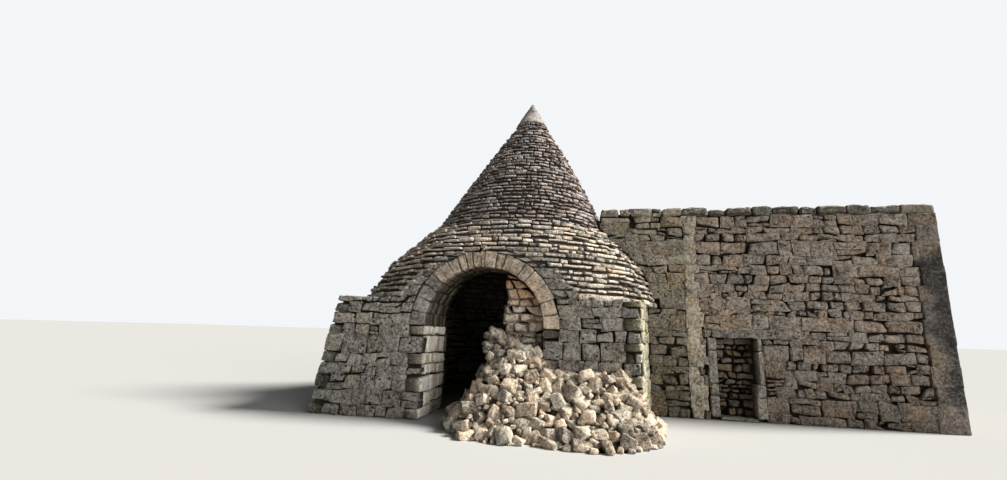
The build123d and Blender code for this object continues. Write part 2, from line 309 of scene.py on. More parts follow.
# Into how many cells a stone's sides are divided: along, up and in. Stones seen close by have the most
WALL_GRID = box_grid(7, 5, 2)
SIDE_GRID = box_grid(4, 4, 2)
LINING_GRID = box_grid(3, 3, 2)
SLAB_GRID = box_grid(4, 3, 2)
BLOCK_GRID = box_grid(9, 7, 3)
ROCK_GRID = box_grid(4, 4, 4)
COBBLE_GRID = box_grid(3, 3, 3)
BED_GRID = box_grid(4, 3, 1)

# The waves that make a face uneven, in metres, how much the rounding differs, and its most as a share
WAVE_LENGTHS = (0.55, 0.27, 0.15, 0.085)
ROUNDING_SPREAD = (0.7, 1.5)
ROUNDING_MOST = 0.3
# How far an edge and a corner are pulled in, as shares of the rounding
PULL = [0.0, 0.32, 0.45]
# Where a stone's sides get painted shade in the joint: from this share of the rounding, over this depth
SHADE_PAINT_FROM = 0.7
SHADE_PAINT_REACH = 0.03


def corners_of(place):
    """A stone's eight corners, from a function of its low or high side along, up and in."""
    corner = np.zeros((2, 2, 2, 3))
    for i, j, k in np.ndindex(2, 2, 2):
        corner[i, j, k] = place(i, j, k)
    return corner


def shaped(corners, grid, wear, rng, tones=None, hues=None):
    """Closed stones in boxes of eight corners, by low or high side along, up and in, with uneven faces."""
    share, lean, end, faces = grid
    rounding, roughness = WEAR[wear]
    count = len(corners)
    sizes = np.stack([np.linalg.norm(np.diff(corners, axis=axis), axis=-1).mean((1, 2, 3))
                      for axis in (1, 2, 3)], 1)
    ratio = rounding * rng.uniform(*ROUNDING_SPREAD, (count, 1)) / np.maximum(sizes, SLIGHT)
    ratio = np.minimum(ratio, ROUNDING_MOST)[:, None, :]
    pull = np.choose(np.abs(end).sum(1).astype(int) - 1, PULL)
    spot = share + lean * ratio - end * pull[:, None] * ratio
    points = np.zeros((count, len(share), 3))
    for i, j, k in np.ndindex(2, 2, 2):
        weight = (spot[..., 0] if i else 1 - spot[..., 0]) * (spot[..., 1] if j else 1 - spot[..., 1])
        weight = weight * (spot[..., 2] if k else 1 - spot[..., 2])
        points += weight[..., None] * corners[:, i, j, k][:, None, :]
    moved = points.copy()
    for length in WAVE_LENGTHS:
        turn = rng.normal(size=(3, 3))
        turn *= 2 * pi / length / np.linalg.norm(turn, axis=1)[:, None]
        phase = rng.uniform(0, 2 * pi, (count, 1, 3))
        size = roughness * (length / WAVE_LENGTHS[0]) ** 0.5
        moved += size * 0.5 * np.sin(points @ turn.T + phase)
    moved = np.clip(moved, BOX_LOW, BOX_HIGH)
    tone = rng.uniform(0, 1, count) if tones is None else tones
    colour = np.ones((count, len(share), 4))
    colour[..., 0] = tone[:, None]
    colour[..., 1] = (rng.uniform(0, 1, count) if hues is None else hues)[:, None]
    # Painted shade: how deep each point lies in the joint, which darkens the stone's colour there
    colour[..., 2] = np.clip((spot[..., 2] * sizes[:, 2:] - SHADE_PAINT_FROM * rounding) / SHADE_PAINT_REACH, 0, 1)
    colour[..., 3] = rng.uniform(0, 1, count)[:, None]
    quads = faces[None] + (np.arange(count) * len(share))[:, None, None]
    first = moved[0][faces]
    volume = np.einsum("ij,ij->i", first[:, 0], np.cross(first[:, 1], first[:, 2])).sum()
    volume += np.einsum("ij,ij->i", first[:, 0], np.cross(first[:, 2], first[:, 3])).sum()
    if volume < 0:
        quads = quads[..., ::-1]
    return moved.reshape(-1, 3), quads.reshape(-1, 4), colour.reshape(-1, 4)


def loose(rows, rng, wear="loose", grid=ROCK_GRID):
    """Tumbled stones, none of whose sides lies in a joint."""
    points, faces, colour = shaped(np.array(rows), grid, wear, rng)
    # Loose stones get no painted joint shade
    colour[:, 2] = 0.0
    return points, faces, colour


# A bed reaches this far past its stone, and is this thick
BED_REACH = 0.024
BED_DEPTH = 0.07
# Corner stones, which go deeper than this, have none
BEDDED_DEPTH = CORNER_DEPTH - 0.06
# A share more or less of the stones has beds, by waves over the wall
BED_ZONE = 0.16
BED_WAVES = ((1.1, 0.7, 1.9), (-0.6, 0.8, 1.3))


def bedding(corners, rng, share, depth):
    """Boxes of mortar and earth behind a share of the stones, which fill the joints round them."""
    middles = corners.mean((1, 2, 3))
    zone = np.sin(middles @ BED_WAVES[0] + 1.0) + np.sin(middles @ BED_WAVES[1])
    thick = np.linalg.norm(corners[:, 0, 0, 1] - corners[:, 0, 0, 0], axis=1)
    chosen = (rng.random(len(corners)) < share + BED_ZONE * zone) & (thick < BEDDED_DEPTH)
    picked = corners[chosen]
    steps = [np.diff(picked, axis=axis).mean((1, 2, 3)) for axis in (1, 2, 3)]
    along, upward, inward = (step / np.linalg.norm(step, axis=1)[:, None] for step in steps)
    found = np.empty_like(picked)
    front = rng.uniform(*depth, len(picked))
    for i, j, k in np.ndindex(2, 2, 2):
        grown = along * (2 * i - 1) * BED_REACH + upward * (2 * j - 1) * BED_REACH
        found[:, i, j, k] = picked[:, i, j, 0] + grown + inward * (front + BED_DEPTH * k)[:, None]
    return shaped(found, BED_GRID, "bed", rng)


# The tone, hue, painted joint shade and seed of the cores behind the stones
CORE_LOOK = (0.3, 0.5, 1.0, 0.5)


def make_piece(name, nodes, stones, finish, cores=(), core_finish=None, beds=(), bed_finish=None,
               sharp=None):
    """One object of joined stones, their beds and the cores behind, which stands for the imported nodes."""
    points, colours, loops, starts, finishes = [], [], [], [], []
    points_so_far = loops_so_far = 0
    groups = [(*group, 0) for group in stones] + [(*group, 2) for group in beds]
    groups += [(core, triangles, np.tile(CORE_LOOK, (len(core), 1)), 1) for core, triangles in cores]
    for group_points, faces, colour, number in groups:
        points.append(group_points)
        colours.append(colour)
        loops.append((faces + points_so_far).ravel())
        starts.append(loops_so_far + np.arange(len(faces)) * faces.shape[1])
        finishes.append(np.full(len(faces), number))
        points_so_far += len(group_points)
        loops_so_far += faces.size
    points, loops, starts = np.vstack(points), np.concatenate(loops), np.concatenate(starts)
    finishes = np.concatenate(finishes)
    mesh = bpy.data.meshes.new(name)
    mesh.vertices.add(len(points))
    mesh.vertices.foreach_set("co", points.astype(np.float32).ravel())
    mesh.loops.add(len(loops))
    mesh.loops.foreach_set("vertex_index", loops.astype(np.int32))
    mesh.polygons.add(len(starts))
    mesh.polygons.foreach_set("loop_start", starts.astype(np.int32))
    mesh.update(calc_edges=True)
    mesh.polygons.foreach_set("material_index", finishes.astype(np.int32))
    attribute = mesh.color_attributes.new("stone", "FLOAT_COLOR", "POINT")
    attribute.data.foreach_set("color", np.vstack(colours).astype(np.float32).ravel())
    mesh.materials.append(finish)
    if cores or beds:
        mesh.materials.append(core_finish or EARTH)
    if beds:
        mesh.materials.append(bed_finish or finish)
    mesh.polygons.foreach_set("use_smooth", finishes != 1)
    if sharp:
        mesh.set_sharp_from_angle(angle=radians(sharp))
    mesh.update()
    piece = bpy.data.objects.new(name, mesh)
    bpy.context.scene.collection.objects.link(piece)
    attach(piece, "root")
    if nodes:
        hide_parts(*nodes)


def flat_patch(x, y, along):
    """Places on an upright face: u runs along it, v up and w into the wall."""
    origin = np.array((x, y, 0), float)
    forward = np.array((*along, 0), float)
    normal = np.array((along[1], -along[0], 0), float)

    def place(u, v, w):
        up = np.stack([np.zeros_like(u), np.zeros_like(u), v], -1)
        return origin + u[..., None] * forward + up - w[..., None] * normal
    return place


def front_patch(y, x=ARCH_X):
    return flat_patch(x, y, (1, 0))


def back_patch(y, x=ARCH_X):
    return flat_patch(x, y, (-1, 0))


def level_patch(height):
    """Places on a level face: u and v are the X and Y in the frame, and w runs down."""
    def place(u, v, w):
        return np.stack([u, v, height - w], -1)
    return place


def ruled_patch(foot_start, foot_end, top_start, top_end):
    """Places on a wall whose foot and top differ: u in metres along its foot, v up."""
    length, rise = np.linalg.norm(foot_end - foot_start), top_start[2] - foot_start[2]
    normal = np.cross(foot_end - foot_start, top_start - foot_start)
    normal /= np.linalg.norm(normal)

    def place(u, v, w):
        s, t = (u / length)[..., None], (v / rise)[..., None]
        foot = foot_start + s * (foot_end - foot_start)
        top = top_start + s * (top_end - top_start)
        return foot + t * (top - foot) - w[..., None] * normal
    return place, length


def room_patch(u, v, w):
    """Places on the room's wall: u along it from its front, v up, and w into the wall."""
    turn = u / ROOM_RADIUS - pi / 2
    out = ROOM_RADIUS + w
    return np.stack([ROOM_X + out * np.cos(turn), ROOM_Y + out * np.sin(turn), v], -1)


def arch_patch(u, v, w):
    """Places in the arch: u is the turn in radians from its right springing, v the radius, w the depth."""
    return np.stack([ARCH_X + v * np.cos(u), FRONT_Y + w, ARCH_SPRING + v * np.sin(u)], -1)


def course_levels(marks, mean, rng, spread=0.4):
    """Heights of the course joints, and how much each wanders. The marks stay level."""
    levels = [(marks[0], 0.0)]
    for bottom, top in zip(marks, marks[1:]):
        count = max(1, round((top - bottom) / mean))
        shares = np.cumsum(rng.uniform(1 - spread, 1 + spread, count))
        for number, share in enumerate(shares / shares[-1]):
            levels.append((bottom + share * (top - bottom), 0.0 if number == count - 1 else 1.0))
    return levels


def between(left, right, corner_left=None, corner_right=None):
    """Where each course runs: an end is a place or a rule, a corner a slant and the courses that own it."""
    def spans(bottom, top, number):
        ends = [[end(v) if callable(end) else end for v in (bottom, top)] for end in (left, right)]
        slants = [None, None]
        for side, corner in enumerate((corner_left, corner_right)):
            if corner and number % 2 == corner[1]:
                slants[side] = corner[0]
            elif corner:
                ends[side] = [value + (CORNER_DEPTH, -CORNER_DEPTH)[side] for value in ends[side]]
        return [(*ends[0], *ends[1], *slants)]
    return spans


def mirrored(spans):
    """The same spans as they lie on a wall's back."""
    def turned(*course):
        return [(-b_low, -b_high, -a_low, -a_high) for a_low, a_high, b_low, b_high in spans(*course)]
    return turned


def parted(span, start, stop):
    """A span without the part from start to stop, where that lies within it."""
    a_low, a_high, b_low, b_high, *slants = span
    if a_low >= start or b_low <= stop:
        return [span]
    first, last = slants or (None, None)
    return [(a_low, a_high, start, start, first, None), (stop, stop, b_low, b_high, None, last)]


def around_holes(spans, holes):
    """The spans without the places where a stone is missing, each given by its ends and its height."""
    def cut(bottom, top, number):
        found = spans(bottom, top, number)
        for start, stop, height in holes:
            if bottom <= height < top:
                found = [part for span in found for part in parted(span, start, stop)]
        return found
    return cut


# The two waves of a course's joint in radians per metre, and the second's share
JOINT_WAVES = (1.3, 3.1)
SECOND_WAVE = 0.6
# How far upright joints lean and faces tilt, how much wider a corner's gap may be, and where a split lies
UPRIGHT_LEAN = 0.016
FACE_TILT = 0.012
CORNER_GAPS = (0.0, 0.0, 0.02, 0.045)
SPLIT_SHARE = (0.35, 0.65)
SPLIT_HEIGHT = 0.17
SPLIT_LENGTH = 0.2
CORNER_SPREAD = (0.85, 1.3)
# The share of the least length under which a last stone is joined to the one before
LEAST_STONE = 0.7


def stone_ends(length, rise, aspect, width, corner_width, rng):
    """The shares of a course's length at which its stones end."""
    cuts = [0.0]
    while cuts[-1] < length:
        step = np.clip(rise * rng.uniform(*aspect), *width)
        if corner_width and len(cuts) == 1:
            step = corner_width * rng.uniform(*CORNER_SPREAD)
        cuts.append(cuts[-1] + step)
    if length - cuts[-2] <= width[0] * LEAST_STONE and len(cuts) > 2:
        cuts.pop()
    return np.array(cuts) / cuts[-1]


def lay(patch, spans, levels, rng, aspect=(1.0, 2.5), width=(0.17, 0.72), joint=JOINT, depth=STONE_DEPTH,
        relief=0.022, wander=0.02, split=0.16, corner_width=0.5):
    """The eight corners of every stone of a wall that is laid in courses."""
    waves = rng.uniform(0, 2 * pi, (len(levels), 2))

    def line(number, u):
        height, free = levels[number]
        wave = np.sin(JOINT_WAVES[0] * u + waves[number, 0])
        wave += SECOND_WAVE * np.sin(JOINT_WAVES[1] * u + waves[number, 1])
        return height + free * wander * wave

    def stone_corners(number, feet, heads, shares, slants):
        """One stone's corners, between the joints at its two ends and two shares of its course's height."""
        out = rng.uniform(0, relief)
        tilt = rng.uniform(0, FACE_TILT, (2, 2))
        squeeze = joint * rng.uniform(0.0, 2.0, (2, 2, 2))
        squeeze[rng.integers(2), rng.integers(2)] += rng.choice(CORNER_GAPS)
        deep = depth if slants == (None, None) else CORNER_DEPTH

        def place(i, j, k):
            u = feet[i] * (1 - shares[j]) + heads[i] * shares[j]
            v = line(number, u) * (1 - shares[j]) + line(number + 1, u) * shares[j]
            w = deep if k else out + tilt[i, j]
            u += squeeze[i, j, 0] * (1 - 2 * i)
            if slants[i] is not None:
                u += w * slants[i] + out * (1 - 2 * i)
            return u, v + squeeze[i, j, 1] * (1 - 2 * j), w
        return corners_of(place)

    found = []
    for number in range(len(levels) - 1):
        bottom, top = levels[number][0], levels[number + 1][0]
        for a_low, a_high, b_low, b_high, *slants in spans(bottom, top, number):
            slants = tuple(slants) or (None, None)
            length = (b_low + b_high - a_low - a_high) / 2
            if length < width[0] * 0.5:
                continue
            first = None if slants[0] is None else corner_width
            cuts = stone_ends(length, top - bottom, aspect, width, first, rng)
            lean = rng.normal(0, UPRIGHT_LEAN, (2, len(cuts)))
            lean[:, [0, -1]] = 0
            feet = a_low + cuts * (b_low - a_low) + lean[0]
            heads = a_high + cuts * (b_high - a_high) + lean[1]
            last = len(cuts) - 2
            for stone in range(last + 1):
                shares = [0.0, 1.0]
                long = cuts[stone + 1] - cuts[stone] > SPLIT_LENGTH / length
                if rng.random() < split and top - bottom > SPLIT_HEIGHT and long:
                    shares.insert(1, rng.uniform(*SPLIT_SHARE))
                end_slants = (None if stone else slants[0], slants[1] if stone == last else None)
                for pair in zip(shares, shares[1:]):
                    found.append(stone_corners(number, feet[stone:], heads[stone:], pair, end_slants))
    return patch(*np.moveaxis(np.array(found), -1, 0))


BLACK = (0, 0, 0)
WHITE = (1, 1, 1)

# Scale per metre, detail, roughness and distortion of the noises in the stones and the earth
NOISES = {
    "blotch": (4.5, 5, 0.6, 0.4), "mottle": (16, 6, 0.7, 0.5), "grain": (42, 4, 0.7),
    "stains": (1.1, 6, 0.62, 0.5), "drift": (2.1, 3), "hue": (1.4, 4), "own_hue": (3.2, 4),
    "lichen": (26, 3, 0.75, 0.6), "lichen_field": (2.7, 4), "specks": (30, 5, 0.7, 0.3),
    "earth": (22, 6, 0.7), "crumbs": (35, 5, 0.7),
}
# What a colour is multiplied by at places of the tone's ramp, and the colours of marks on the stones
STONE_TONES = ((0.02, 0.24), (0.3, 0.62), (0.5, 1.0), (0.7, 1.32), (0.98, 1.8))
EARTH_TONES = ((0.3, 0.5), (0.5, 1.0), (0.75, 1.8))
STAINED = (0.42, 0.42, 0.42)
LICHEN = (0.527, 0.51, 0.4675)
SPECKED = (0.3, 0.29, 0.27)
DRILLED = (0.05, 0.045, 0.04)
# Darkening towards the ground: partly damp and soil, partly painted shade of plants and the walls beside
DAMP_AND_SHADE = (0.45, 0.44, 0.42)
# The colour of the painted shade on stones' sides deep in the joints
PAINTED_JOINT_SHADE = (0.14, 0.12, 0.1)
# How far apart in the noises two stones lie, and the scale of the larger holes
SEED_SHIFT = 40.0
HOLE_SCALE = 5.5
# Shares of drift, blotch, mottle and grain in the tone, and of the stone's own, wide and fine hues
TONE_SHARES = (0.7, 0.9, 2.0, 1.2)
HUE_SHARES = (0.24, 0.46, 0.3)
# Where hues turn cool and warm, and where stains, lichen, its fields, pits and holes begin and end
HUE_ENDS = (0.3, 0.72)
STAIN_RAMP = ((0.53, BLACK), (0.68, WHITE))
LICHEN_RAMP = ((0.6, BLACK), (0.68, WHITE))
FIELD_RAMP = ((0.45, BLACK), (0.62, WHITE))
PIT_RAMP = ((0.36, WHITE), (0.43, BLACK))
HOLE_RAMP = ((0.12, WHITE), (0.17, BLACK))
# By how much the painted shade darkens stones deep in the joints
JOINT_PAINTED_SHADE = 0.9
# Shares of fine noise, mottle, blotch and cells in the bumps, and of the pits
BUMP_SHARES = (0.35, 1.0, 0.6, 0.12)
PIT_DEPTH = 0.25
# Detail and roughness of the fine noise, and the strength of bumps in earth
FINE_DETAIL = (6, 0.7)
EARTH_RELIEF = 0.9
# The depth of the bumps in metres, and how matt stone and earth are
STONE_BUMP = 0.06
EARTH_BUMP = 0.03
STONE_SHEEN = (0.93, 0.2)
EARTH_SHEEN = (0.97, 0.1)
FLOOR_SHEEN = (1.0, 0.0)


class Graph:
    """The nodes of a material or a world, with a method for each kind that is used."""

    def __init__(self, owner):
        owner.use_nodes = True
        self.nodes = owner.node_tree.nodes
        self.links = owner.node_tree.links

    def put(self, socket, value):
        """Links a socket to another one, or sets it to a value or a colour."""
        if isinstance(value, bpy.types.NodeSocket):
            self.links.new(value, socket)
        elif value is not None:
            socket.default_value = (*value, 1) if isinstance(value, tuple) else value

    def add(self, kind, inputs, **options):
        node = self.nodes.new("ShaderNode" + kind)
        for name, value in options.items():
            setattr(node, name, value)
        for key, value in inputs.items():
            self.put(node.inputs[key], value)
        return node

    def maths(self, operation, first, second, clamp=False):
        return self.add("Math", {0: first, 1: second}, operation=operation, use_clamp=clamp).outputs[0]

    def times(self, first, second):
        return self.maths("MULTIPLY", first, second)

    def total(self, value, *terms):
        """A value and what is added to it, each source times its share."""
        for share, source in terms:
            value = self.maths("ADD", value, self.times(source, share))
        return value

    def noise(self, place, scale, detail, rough=0.6, warp=0.0):
        return self.add("TexNoise", {"Vector": place, "Scale": scale, "Detail": detail, "Roughness": rough,
                                     "Distortion": warp}).outputs["Fac"]

    def cells(self, place, scale):
        return self.add("TexVoronoi", {"Vector": place, "Scale": scale}).outputs["Distance"]

    def ramp(self, source, *stops):
        node = self.add("ValToRGB", {0: source})
        elements = node.color_ramp.elements
        while len(elements) < len(stops):
            elements.new(0.5)
        for element, (place, colour) in zip(elements, stops):
            element.position = place
            element.color = (*colour, 1)
        return node.outputs[0]

    def mixed(self, blend, factor, first, second):
        node = self.add("Mix", {0: factor, 6: first, 7: second}, data_type="RGBA", blend_type=blend)
        return node.outputs[2]

    def darker(self, base, factor, colour):
        return self.mixed("MULTIPLY", factor, base, colour)

    def shade(self, colour, sheen, height=None, strength=0.0, distance=0.0):
        """Sets the surface's colour, its roughness and shine, and its bumps."""
        shader = self.nodes["Principled BSDF"]
        self.put(shader.inputs["Base Color"], colour)
        self.put(shader.inputs["Roughness"], sheen[0])
        self.put(shader.inputs["Specular IOR Level"], sheen[1])
        if height:
            bumps = self.add("Bump", {"Strength": strength, "Distance": distance, "Height": height})
            self.put(shader.inputs["Normal"], bumps.outputs[0])


def tone_stops(colour, tones):
    return [(place, tuple(min(value * factor, 1.0) for value in colour)) for place, factor in tones]


def stone_finish(name, colour, warm=(1.16, 0.98, 0.76), cool=(0.9, 0.98, 1.04), lichen=0.3, stain=0.4,
                 contrast=1.0, spread=0.25, fine=45, bump=0.8, holes=0.0, pitted=0.75, damp_and_shade=None):
    """Weathered limestone: tone and hue differ from stone to stone, with mottling, pits, lichen and painted
    shade deep in the joints; damp and painted shade may darken it towards the ground.
    """
    material = bpy.data.materials.new(name)
    graph = Graph(material)
    place = graph.add("TexCoord", {}).outputs["Object"]
    attribute = graph.add("Attribute", {}, attribute_name="stone")
    # The third channel, deep, is the share of painted shade in the joints
    tone, hue, deep = graph.add("SeparateColor", {0: attribute.outputs["Color"]}).outputs
    shift = graph.times(attribute.outputs["Alpha"], SEED_SHIFT)
    own = graph.add("VectorMath", {0: place, 1: shift}, operation="ADD").outputs[0]
    blotch, mottle, grain, own_hue, spots, specks = (graph.noise(own, *NOISES[kind]) for kind in (
        "blotch", "mottle", "grain", "own_hue", "lichen", "specks"))
    stains, drift, wide_hue, fields = (graph.noise(place, *NOISES[kind]) for kind in (
        "stains", "drift", "hue", "lichen_field"))

    shares = np.multiply(TONE_SHARES, (1.0, 1.0, contrast, contrast)).tolist()
    value = graph.total(graph.times(tone, spread), *zip(shares, (drift, blotch, mottle, grain)))
    middle = 0.5 * (spread + sum(shares)) - 0.5
    value = graph.maths("SUBTRACT", value, middle, clamp=True)
    tones = graph.ramp(value, *tone_stops(colour, STONE_TONES))
    hues = graph.total(graph.times(hue, HUE_SHARES[0]), *zip(HUE_SHARES[1:], (wide_hue, own_hue)))
    tints = graph.ramp(hues, (HUE_ENDS[0], cool), (0.5, WHITE), (HUE_ENDS[1], warm))
    base = graph.darker(tones, 1.0, tints)
    base = graph.darker(base, graph.times(graph.ramp(stains, *STAIN_RAMP), stain), STAINED)

    spotted = graph.times(graph.ramp(spots, *LICHEN_RAMP), graph.ramp(fields, *FIELD_RAMP))
    base = graph.mixed("MIX", graph.times(spotted, lichen), base, LICHEN)
    pits = graph.ramp(specks, *PIT_RAMP)
    base = graph.darker(base, graph.times(pits, pitted), SPECKED)
    drilled = graph.ramp(graph.cells(place, HOLE_SCALE), *HOLE_RAMP)
    base = graph.darker(base, graph.times(drilled, holes), DRILLED)
    # Darker towards the ground: partly damp and soil splash, partly painted shade
    if damp_and_shade:
        share, reach = damp_and_shade
        height = graph.add("SeparateXYZ", {0: place}).outputs[2]
        below = graph.maths("DIVIDE", graph.maths("SUBTRACT", reach, height), reach, clamp=True)
        base = graph.darker(base, graph.times(below, share), DAMP_AND_SHADE)
    # Painted shade on the stones' sides deep in the joints
    base = graph.darker(base, graph.times(deep, JOINT_PAINTED_SHADE), PAINTED_JOINT_SHADE)

    height = graph.times(graph.noise(own, fine, *FINE_DETAIL), BUMP_SHARES[0])
    height = graph.total(height, *zip(BUMP_SHARES[1:], (mottle, blotch, graph.cells(own, fine))))
    height = graph.maths("SUBTRACT", height, graph.times(pits, PIT_DEPTH))
    graph.shade(base, STONE_SHEEN, height, bump, STONE_BUMP)
    return material


def earth_finish(name, colour):
    """Earth and small stones deep in the joints."""
    material = bpy.data.materials.new(name)
    graph = Graph(material)
    place = graph.add("TexCoord", {}).outputs["Object"]
    tones = graph.ramp(graph.noise(place, *NOISES["earth"]), *tone_stops(colour, EARTH_TONES))
    graph.shade(tones, EARTH_SHEEN, graph.noise(place, *NOISES["crumbs"]), EARTH_RELIEF, EARTH_BUMP)
    return material


GREY_WALL = stone_finish("grey_wall_stone", (0.35, 0.325, 0.28), warm=(1.08, 0.99, 0.87),
                         cool=(0.96, 0.99, 1.02), contrast=1.5, bump=1.0, holes=1.0, damp_and_shade=(0.5, 1.3))
# The trullo's right wall: its lighter, yellower colour than the grey wall is painted sunlight
SUNNY_WALL = stone_finish("sunny_wall_stone", (0.45, 0.415, 0.298), warm=(1.06, 1.0, 0.84), stain=0.2)
# The arch's inner jambs: pale tan stone, made paler still as painted light on faces that lie in shade
JAMB_STONE_PAINTED_LIGHT = stone_finish("jamb_stone", (1.0, 0.86, 0.69), warm=(1.05, 0.98, 0.9),
                          cool=(0.95, 0.98, 1.0), lichen=0.1, stain=0.1, contrast=0.7, bump=0.5,
                          pitted=0.25)
# The vault's rows behind the ring: olive-brown stone, darkened as painted shade of the arch's soffit
VAULT_ROWS_PAINTED_SHADE = stone_finish("arch_vault_stone", (0.2, 0.165, 0.115), warm=(1.05, 1.0, 0.8))
HOUSE_WALL = stone_finish("house_wall_stone", (0.39, 0.33, 0.268), warm=(1.13, 0.95, 0.8),
                          cool=(0.92, 0.98, 1.03), contrast=1.4, bump=1.0, holes=0.8, damp_and_shade=(0.75, 2.2))
# Its strong darkening up to 3.6 m is mostly painted shade of the trullo and plants
LINK_STONE = stone_finish("link_wall_stone", (0.33, 0.292, 0.226), cool=(0.95, 0.98, 1.0),
                          contrast=1.5, spread=0.2, holes=0.8, damp_and_shade=(1.0, 3.6))
ARCH_STONE = stone_finish("arch_stone", (0.52, 0.43, 0.33), warm=(1.08, 0.98, 0.87),
                          cool=(0.66, 0.72, 0.82), stain=0.3, lichen=0.15, bump=0.4)
INFILL_STONE = stone_finish("arch_infill_stone", (0.53, 0.44, 0.345), warm=(1.3, 0.92, 0.62),
                            cool=(0.97, 0.98, 0.99), pitted=0.6, contrast=1.2)
DOOR_FILLING = stone_finish("door_filling_stone", (0.2, 0.16, 0.12))
DOOR_STONE = stone_finish("door_stone", (0.34, 0.307, 0.262), warm=(1.05, 0.99, 0.93),
                          cool=(0.95, 0.98, 1.0), stain=0.25, contrast=1.2)
ROOF_STONE = stone_finish("roof_slab_stone", (0.335, 0.291, 0.264), warm=(1.12, 0.98, 0.88),
                          lichen=0.6, contrast=1.3, spread=0.7, fine=80)
SKIRT_STONE = stone_finish("skirt_slab_stone", (0.5, 0.44, 0.365), warm=(1.12, 0.98, 0.84), lichen=0.5,
                           contrast=1.3, spread=0.5, fine=80)
PINNACLE_STONE = stone_finish("pinnacle_stone", (0.34, 0.3, 0.268), lichen=0.2, stain=0.3, bump=0.3)
CAP_STONE = stone_finish("capping_stone", (0.19, 0.175, 0.143), warm=(1.05, 1.0, 0.9), stain=0.6,
                         contrast=1.3)
QUOIN_STONE = stone_finish("quoin_stone", (0.28, 0.236, 0.19), cool=(0.66, 0.7, 0.8), contrast=1.25)
OLD_QUOIN_STONE = stone_finish("old_quoin_stone", (0.43, 0.37, 0.285), contrast=1.3, stain=0.3,
                               bump=0.4)
HEAP_STONE = stone_finish("heap_stone", (0.56, 0.475, 0.368), warm=(1.1, 0.96, 0.88), lichen=0.2,
                          stain=0.2, contrast=1.15, spread=0.5, bump=0.9)
SCREE_STONE = stone_finish("scree_stone", (0.36, 0.315, 0.26), contrast=1.1)
ROOM_STONE = stone_finish("room_stone", (0.24, 0.2, 0.15))
EARTH = earth_finish("joint_earth", (0.035, 0.029, 0.021))
HEAP_EARTH = earth_finish("heap_earth", (0.11, 0.09, 0.065))
ROOF_EARTH = earth_finish("roof_joint_earth", (0.08, 0.071, 0.06))
ROOM_PLAIN = earth_finish("room_plain_stone", (0.12, 0.1, 0.075))


# How much a wall's outer face looks away from the room, and the least that a corner may open
OUTWARD = 0.6
LEAST_OPENING = 0.1


def outer_walls(centres, normals):
    """Chooses faces that look away from the room, into it or up, but not the cuts between segments."""
    radial = centres[:, :2] - (ROOM_X, ROOM_Y)
    radial /= np.linalg.norm(radial, axis=1)[:, None]
    facing = (radial * normals[:, :2]).sum(1)
    shown = (facing > OUTWARD) | (facing < -FACING) | (normals[:, 2] > FACING)
    return shown | on_planes((1, FRONT_Y), (0, ARCH_X - INTRADOS), (0, ARCH_X + INTRADOS))(centres, normals)


TRULLO_ORDER = ["front", "right_wall", "rear_right_wall", "rear_wall", "rear_left_wall", "left_wall"]
TRULLO_NODES = ["front_wall_left", "front_wall_right"] + TRULLO_ORDER[1:]
TOP_POINTS = np.vstack([node_arrays(name)[0] for name in TRULLO_NODES])
TOP_POINTS = TOP_POINTS[TOP_POINTS[:, 2] > WALL_TOP - FOOT]
# The trullo's walls have joints right through at the arch's springing and under their flat top
TRULLO_MARKS = [0, ARCH_SPRING, WALL_TOP - 0.37, WALL_TOP - 0.14, WALL_TOP]
# The mean height of its walls' courses, and how much they differ
TRULLO_COURSE = 0.285
TRULLO_SPREAD = 0.3
TRULLO_LEVELS = course_levels(TRULLO_MARKS, TRULLO_COURSE, dice("trullo_levels"), TRULLO_SPREAD)


def outer_corners(name):
    """A trullo wall's outer corners: foot start, foot end, top start and top end, counter-clockwise."""
    points = node_arrays(name)[0]
    level = points[points[:, 2] < FOOT]
    feet = level[np.argsort(-np.hypot(level[:, 0] - ROOM_X, level[:, 1] - ROOM_Y))][:2]
    turns = np.arctan2(feet[:, 1] - ROOM_Y, feet[:, 0] - ROOM_X)
    order = np.argsort(turns)
    if turns.max() - turns.min() > pi:
        order = order[::-1]
    feet = feet[order]
    tops = [TOP_POINTS[np.hypot(*(TOP_POINTS[:, :2] - foot[:2]).T).argmin()] for foot in feet]
    return feet[0], feet[1], tops[0], tops[1]


TRULLO_WALLS = {name: outer_corners(name) for name in TRULLO_ORDER[1:]}
TRULLO_WALLS["front"] = (TRULLO_WALLS["left_wall"][1], TRULLO_WALLS["right_wall"][0],
                         TRULLO_WALLS["left_wall"][3], TRULLO_WALLS["right_wall"][2])


def direction(name):
    step = TRULLO_WALLS[name][1][:2] - TRULLO_WALLS[name][0][:2]
    return step / np.linalg.norm(step)


def along_slant(name, neighbour_direction):
    """How far along a wall a corner's back edge moves per metre of depth, to stay in the next wall."""
    along = direction(name)
    inward = np.array([-along[1], along[0]])
    return neighbour_direction @ along / max(neighbour_direction @ inward, LEAST_OPENING)


def trullo_side(name):
    """One of the trullo's walls that has no opening."""
    number = TRULLO_ORDER.index(name)
    rng = dice("trullo_side", number)
    before, after = TRULLO_ORDER[number - 1], TRULLO_ORDER[(number + 1) % len(TRULLO_ORDER)]
    patch, length = ruled_patch(*TRULLO_WALLS[name])
    start = along_slant(name, -direction(before))
    end = along_slant(name, direction(after))
    corners = lay(patch, between(0.0, length, (start, 1), (end, 0)), TRULLO_LEVELS, rng)
    # The right wall gets the finish with painted sunlight
    sunny = name == "right_wall"
    stones = shaped(corners, WALL_GRID if sunny else SIDE_GRID, "side", rng)
    make_piece(name + "_masonry", [name], [stones], SUNNY_WALL if sunny else GREY_WALL,
               [recessed(name, outer_walls)], beds=[bedding(corners, rng, *WALL_BEDS)])


# How deep the jamb stones are as grey as the wall beside them, and how that shifts their tone and hue
JAMB_EDGE = 0.04
JAMB_EDGE_LOOK = (1.9, 0.6)
# How far below a course's top its stones are measured where they meet the arch's round
ROUND_EASE = 0.02


